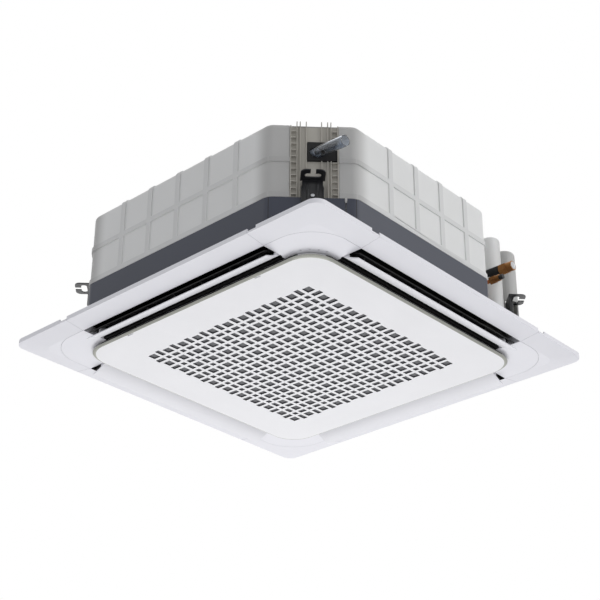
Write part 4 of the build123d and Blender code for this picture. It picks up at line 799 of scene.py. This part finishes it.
# %% [markdown]
# ## Swages and flanges of the hanger brackets
# The leg of each bracket is pressed from sheet. Two upright swages and a turned-out flange
# on each side stiffen it. Pressing them into the leg would need its mesh cut and joined
# again, so they are raised pieces on its face. They start as plain bars at their real
# size, get a taper and rounded edges, and are made once on the +X side. Copies with their
# own meshes are then turned to the four corners.

# %% Bars, tapers and turned copies
def bar(name, low, high):
    """A box between two corners, ready to be shaped."""
    bpy.ops.object.select_all(action="DESELECT")
    middle = [(a + b) / 2 for a, b in zip(low, high)]
    bpy.ops.mesh.primitive_cube_add(size=1.0, location=middle)
    piece = begin_piece(name)
    piece.scale = [b - a for a, b in zip(low, high)]
    bpy.ops.object.transform_apply(location=True, rotation=True, scale=True)
    return piece


def select_facing(piece, wanted):
    """Enter edit mode with only the faces selected that look along wanted; return their middle."""
    bpy.ops.object.select_all(action="DESELECT")
    piece.select_set(True)
    bpy.context.view_layer.objects.active = piece
    bpy.ops.object.mode_set(mode="EDIT")
    bpy.ops.mesh.select_mode(type="FACE")
    bpy.ops.mesh.select_all(action="DESELECT")
    bpy.ops.object.mode_set(mode="OBJECT")
    chosen = [face for face in piece.data.polygons if face.normal.dot(Vector(wanted)) > 0.9]
    for face in chosen:
        face.select = True
    middle = sum((face.center for face in chosen), Vector()) / len(chosen)
    bpy.ops.object.mode_set(mode="EDIT")
    return middle


def taper(piece, wanted, factor):
    """Scale the faces that look along wanted about their own middle."""
    middle = select_facing(piece, wanted)
    bpy.ops.transform.resize(value=factor, center_override=middle)
    bpy.ops.object.mode_set(mode="OBJECT")


def rounded_edges(piece, radius):
    """Bevel every edge that is sharper than 30 degrees."""
    edge = piece.modifiers.new("edge", "BEVEL")
    edge.width = radius
    edge.segments = 2
    edge.limit_method = "ANGLE"
    edge.angle_limit = radians(30.0)
    bpy.context.view_layer.objects.active = piece
    bpy.ops.object.modifier_apply(modifier="edge")


def turned_copy(piece, name, degrees, moved=(0, 0, 0), stretched=(1, 1, 1)):
    """A copy with its own mesh, moved or mirrored first and then turned about Z."""
    copied = bpy.data.objects.new(name, piece.data.copy())
    bpy.context.scene.collection.objects.link(copied)
    copied.data.transform(Matrix.Translation(moved) @ Matrix.Diagonal((*stretched, 1)))
    copied.rotation_euler = (0, 0, radians(degrees))
    return copied


print("bar helpers ready")

# %% Swages and flanges
outward_face = (1, 0, 0)
bracket_face = 0.5007
sunk_in = 0.0002
swage_proud = 0.0018
swage_half_width = 0.0030
swage_from_middle = 0.010
swage_low, swage_high = -0.062, -0.006
flange_back, flange_front = 0.4985, 0.5075
flange_inner, flange_outer = 0.0216, 0.0240
flange_low, flange_high = -0.066, -0.012
corner_turns = {"drain": -45, "pipe": 45, "left_back": 135, "left_front": -135}

swage = bar("swage", (bracket_face - sunk_in, -swage_half_width, swage_low),
            (bracket_face + swage_proud, swage_half_width, swage_high))
taper(swage, outward_face, factor=(1, 0.55, 0.9))
rounded_edges(swage, 0.0008)
flange = bar("flange", (flange_back, flange_inner, flange_low), (flange_front, flange_outer, flange_high))
taper(flange, outward_face, factor=(1, 1, 0.62))
rounded_edges(flange, 0.0009)
for corner, turn in corner_turns.items():
    for number, sideways in enumerate((-swage_from_middle, swage_from_middle)):
        name = "bracket_swage_%s_%d" % (corner, number)
        finish_piece(turned_copy(swage, name, turn, moved=(0, sideways, 0)), "bracket_steel", "root")
    for number, mirror in enumerate((1, -1)):
        name = "bracket_flange_%s_%d" % (corner, number)
        finish_piece(turned_copy(flange, name, turn, stretched=(1, mirror, 1)), "bracket_steel", "root")
bpy.data.objects.remove(swage)
bpy.data.objects.remove(flange)
print("swages and flanges on", len(corner_turns), "brackets")

# %% [markdown]
# ## Screws and swages of the top plate
# The zinc-coated lid over the motor is held by pan-head screws and stiffened by four long
# pressed swages. A head could be turned from a profile with Spin. A cylinder is quicker:
# its top face is inset and pushed down for the recess, and the rim is rounded.

# %% Discs with a sunk face
def disc(name, place, radius, depth, sides_count, rotation=(0, 0, 0)):
    """A short cylinder, ready to be shaped."""
    bpy.ops.object.select_all(action="DESELECT")
    bpy.ops.mesh.primitive_cylinder_add(vertices=sides_count, radius=radius, depth=depth, location=place,
                                        rotation=rotation)
    piece = begin_piece(name)
    bpy.ops.object.transform_apply(location=True, rotation=True, scale=True)
    return piece


def sink_face(piece, wanted, rim, sunk):
    """Inset the face that looks along wanted and push it in, or out if sunk is negative."""
    select_facing(piece, wanted)
    bpy.ops.mesh.inset(thickness=rim)
    bpy.ops.transform.translate(value=[-sunk * part for part in wanted])
    bpy.ops.object.mode_set(mode="OBJECT")


print("disc helpers ready")

# %% Lid screws and swages
lid_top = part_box("top_plate")[1][2]
screw_radius = 0.0045
screw_height = 0.0022
screw_rise = 0.0010
screw_pitch = 0.285
upward_face = (0, 0, 1)
screw = disc("lid_screw", (0, 0, lid_top + screw_rise), screw_radius, screw_height, sides_count=24)
sink_face(screw, upward_face, rim=0.0024, sunk=0.0009)
rounded_edges(screw, 0.0004)
rows = (-screw_pitch, 0.0, screw_pitch)
screw_places = [(x, y, 0) for x in rows for y in rows if (x, y) != (0.0, 0.0)]
for number, place in enumerate(screw_places):
    finish_piece(turned_copy(screw, "lid_screw_%d" % number, 0, moved=place), "bolt_steel", "root")
bpy.data.objects.remove(screw)

lid_swage_from, lid_swage_to = 0.070, 0.330
lid_swage_half_width = 0.009
lid_swage_sunk, lid_swage_proud = 0.0003, 0.0018
lid_swage = bar("lid_swage", (lid_swage_from, -lid_swage_half_width, lid_top - lid_swage_sunk),
                (lid_swage_to, lid_swage_half_width, lid_top + lid_swage_proud))
taper(lid_swage, upward_face, factor=(0.965, 0.6, 1))
rounded_edges(lid_swage, 0.0012)
for number, turn in enumerate((45, 135, 225, 315)):
    finish_piece(turned_copy(lid_swage, "lid_swage_%d" % number, turn), "zinc_steel", "root")
bpy.data.objects.remove(lid_swage)
print("lid has", len(screw_places), "screws")

# %% [markdown]
# ## Flare face, mounting bolts and the seam tab
# The gas nut ends in the pale machined face of its flare, each bracket has one bright
# mounting bolt, and a small tab of the cover hooks over the slit in the steel band. The
# solids leave them out, because they carry nothing. The same discs and bars make them.

# %% Flare face and bolts
facing_outward = (0, radians(90), 0)
gas_line_y, gas_line_z = 0.290, 0.045
flare_x = 0.4172
flare = disc("gas_flare_face", (flare_x, gas_line_y, gas_line_z), radius=0.0098, depth=0.0014,
             sides_count=32, rotation=facing_outward)
sink_face(flare, outward_face, rim=0.0030, sunk=0.0008)
rounded_edges(flare, 0.0003)
finish_piece(flare, "shaft_steel", "root")

bolt_x, bolt_z = 0.5026, -0.0385
bolt = disc("mounting_bolt", (bolt_x, 0, bolt_z), radius=0.0045, depth=0.0036, sides_count=6,
            rotation=facing_outward)
sink_face(bolt, outward_face, rim=0.0016, sunk=-0.0006)
rounded_edges(bolt, 0.0005)
for corner, turn in corner_turns.items():
    finish_piece(turned_copy(bolt, "mounting_bolt_" + corner, turn), "bolt_steel", "root")
bpy.data.objects.remove(bolt)
print("flare face and", len(corner_turns), "bolts placed")

# %% Seam tab
tab_low = (0.4978, 0.0672, -0.0520)
tab_high = (0.5000, 0.0728, -0.0405)
downward_face = (0, 0, -1)
tab = bar("seam_tab", tab_low, tab_high)
taper(tab, downward_face, factor=(0.6, 0.7, 1))
rounded_edges(tab, 0.0006)
finish_piece(turned_copy(tab, "cover_seam_tab", corner_turns["drain"]), "cover_cream", "root")
bpy.data.objects.remove(tab)
print("tab placed")

# %% [markdown]
# ## Vane gussets
# Near one end each vane has a pale half-round gusset that stands up from the blade. It is
# a disc cut along the blade by Bisect, which also fills the cut, and then rounded. The
# blade hangs at 26 degrees at rest, so the gusset is built in the blade's own tilt beside
# its pivot. It rides on its vane, and it is small enough to clear the slot when the vane
# shuts.

# %% Vane gussets
rest_tilt = radians(26)
pivot = Vector((0.382, 0, -0.1535))
along_blade = Vector((cos(rest_tilt), 0, -sin(rest_tilt)))
off_blade = Vector((sin(rest_tilt), 0, cos(rest_tilt)))
gusset_along, gusset_below = 0.0180, 0.0068
gusset_middle = pivot + gusset_along * along_blade - gusset_below * off_blade
gusset_radius = 0.0130
gusset_thickness = 0.0022
gusset_from_middle = 0.2475
gusset = disc("gusset", gusset_middle, gusset_radius, gusset_thickness, sides_count=36,
              rotation=(radians(90), 0, 0))
bpy.ops.object.mode_set(mode="EDIT")
bpy.ops.mesh.select_all(action="SELECT")
bpy.ops.mesh.bisect(plane_co=gusset_middle, plane_no=off_blade, clear_inner=True, use_fill=True)
bpy.ops.object.mode_set(mode="OBJECT")
rounded_edges(gusset, 0.0006)
turn_and_end = {"right": (0, 1), "back": (90, -1), "left": (180, 1), "front": (-90, -1)}
for side, (turn, end) in turn_and_end.items():
    piece = turned_copy(gusset, "vane_gusset_" + side, turn, moved=(0, end * gusset_from_middle, 0))
    finish_piece(piece, "vane_white", "vane_" + side)
bpy.data.objects.remove(gusset)
print("gussets on", len(turn_and_end), "vanes")
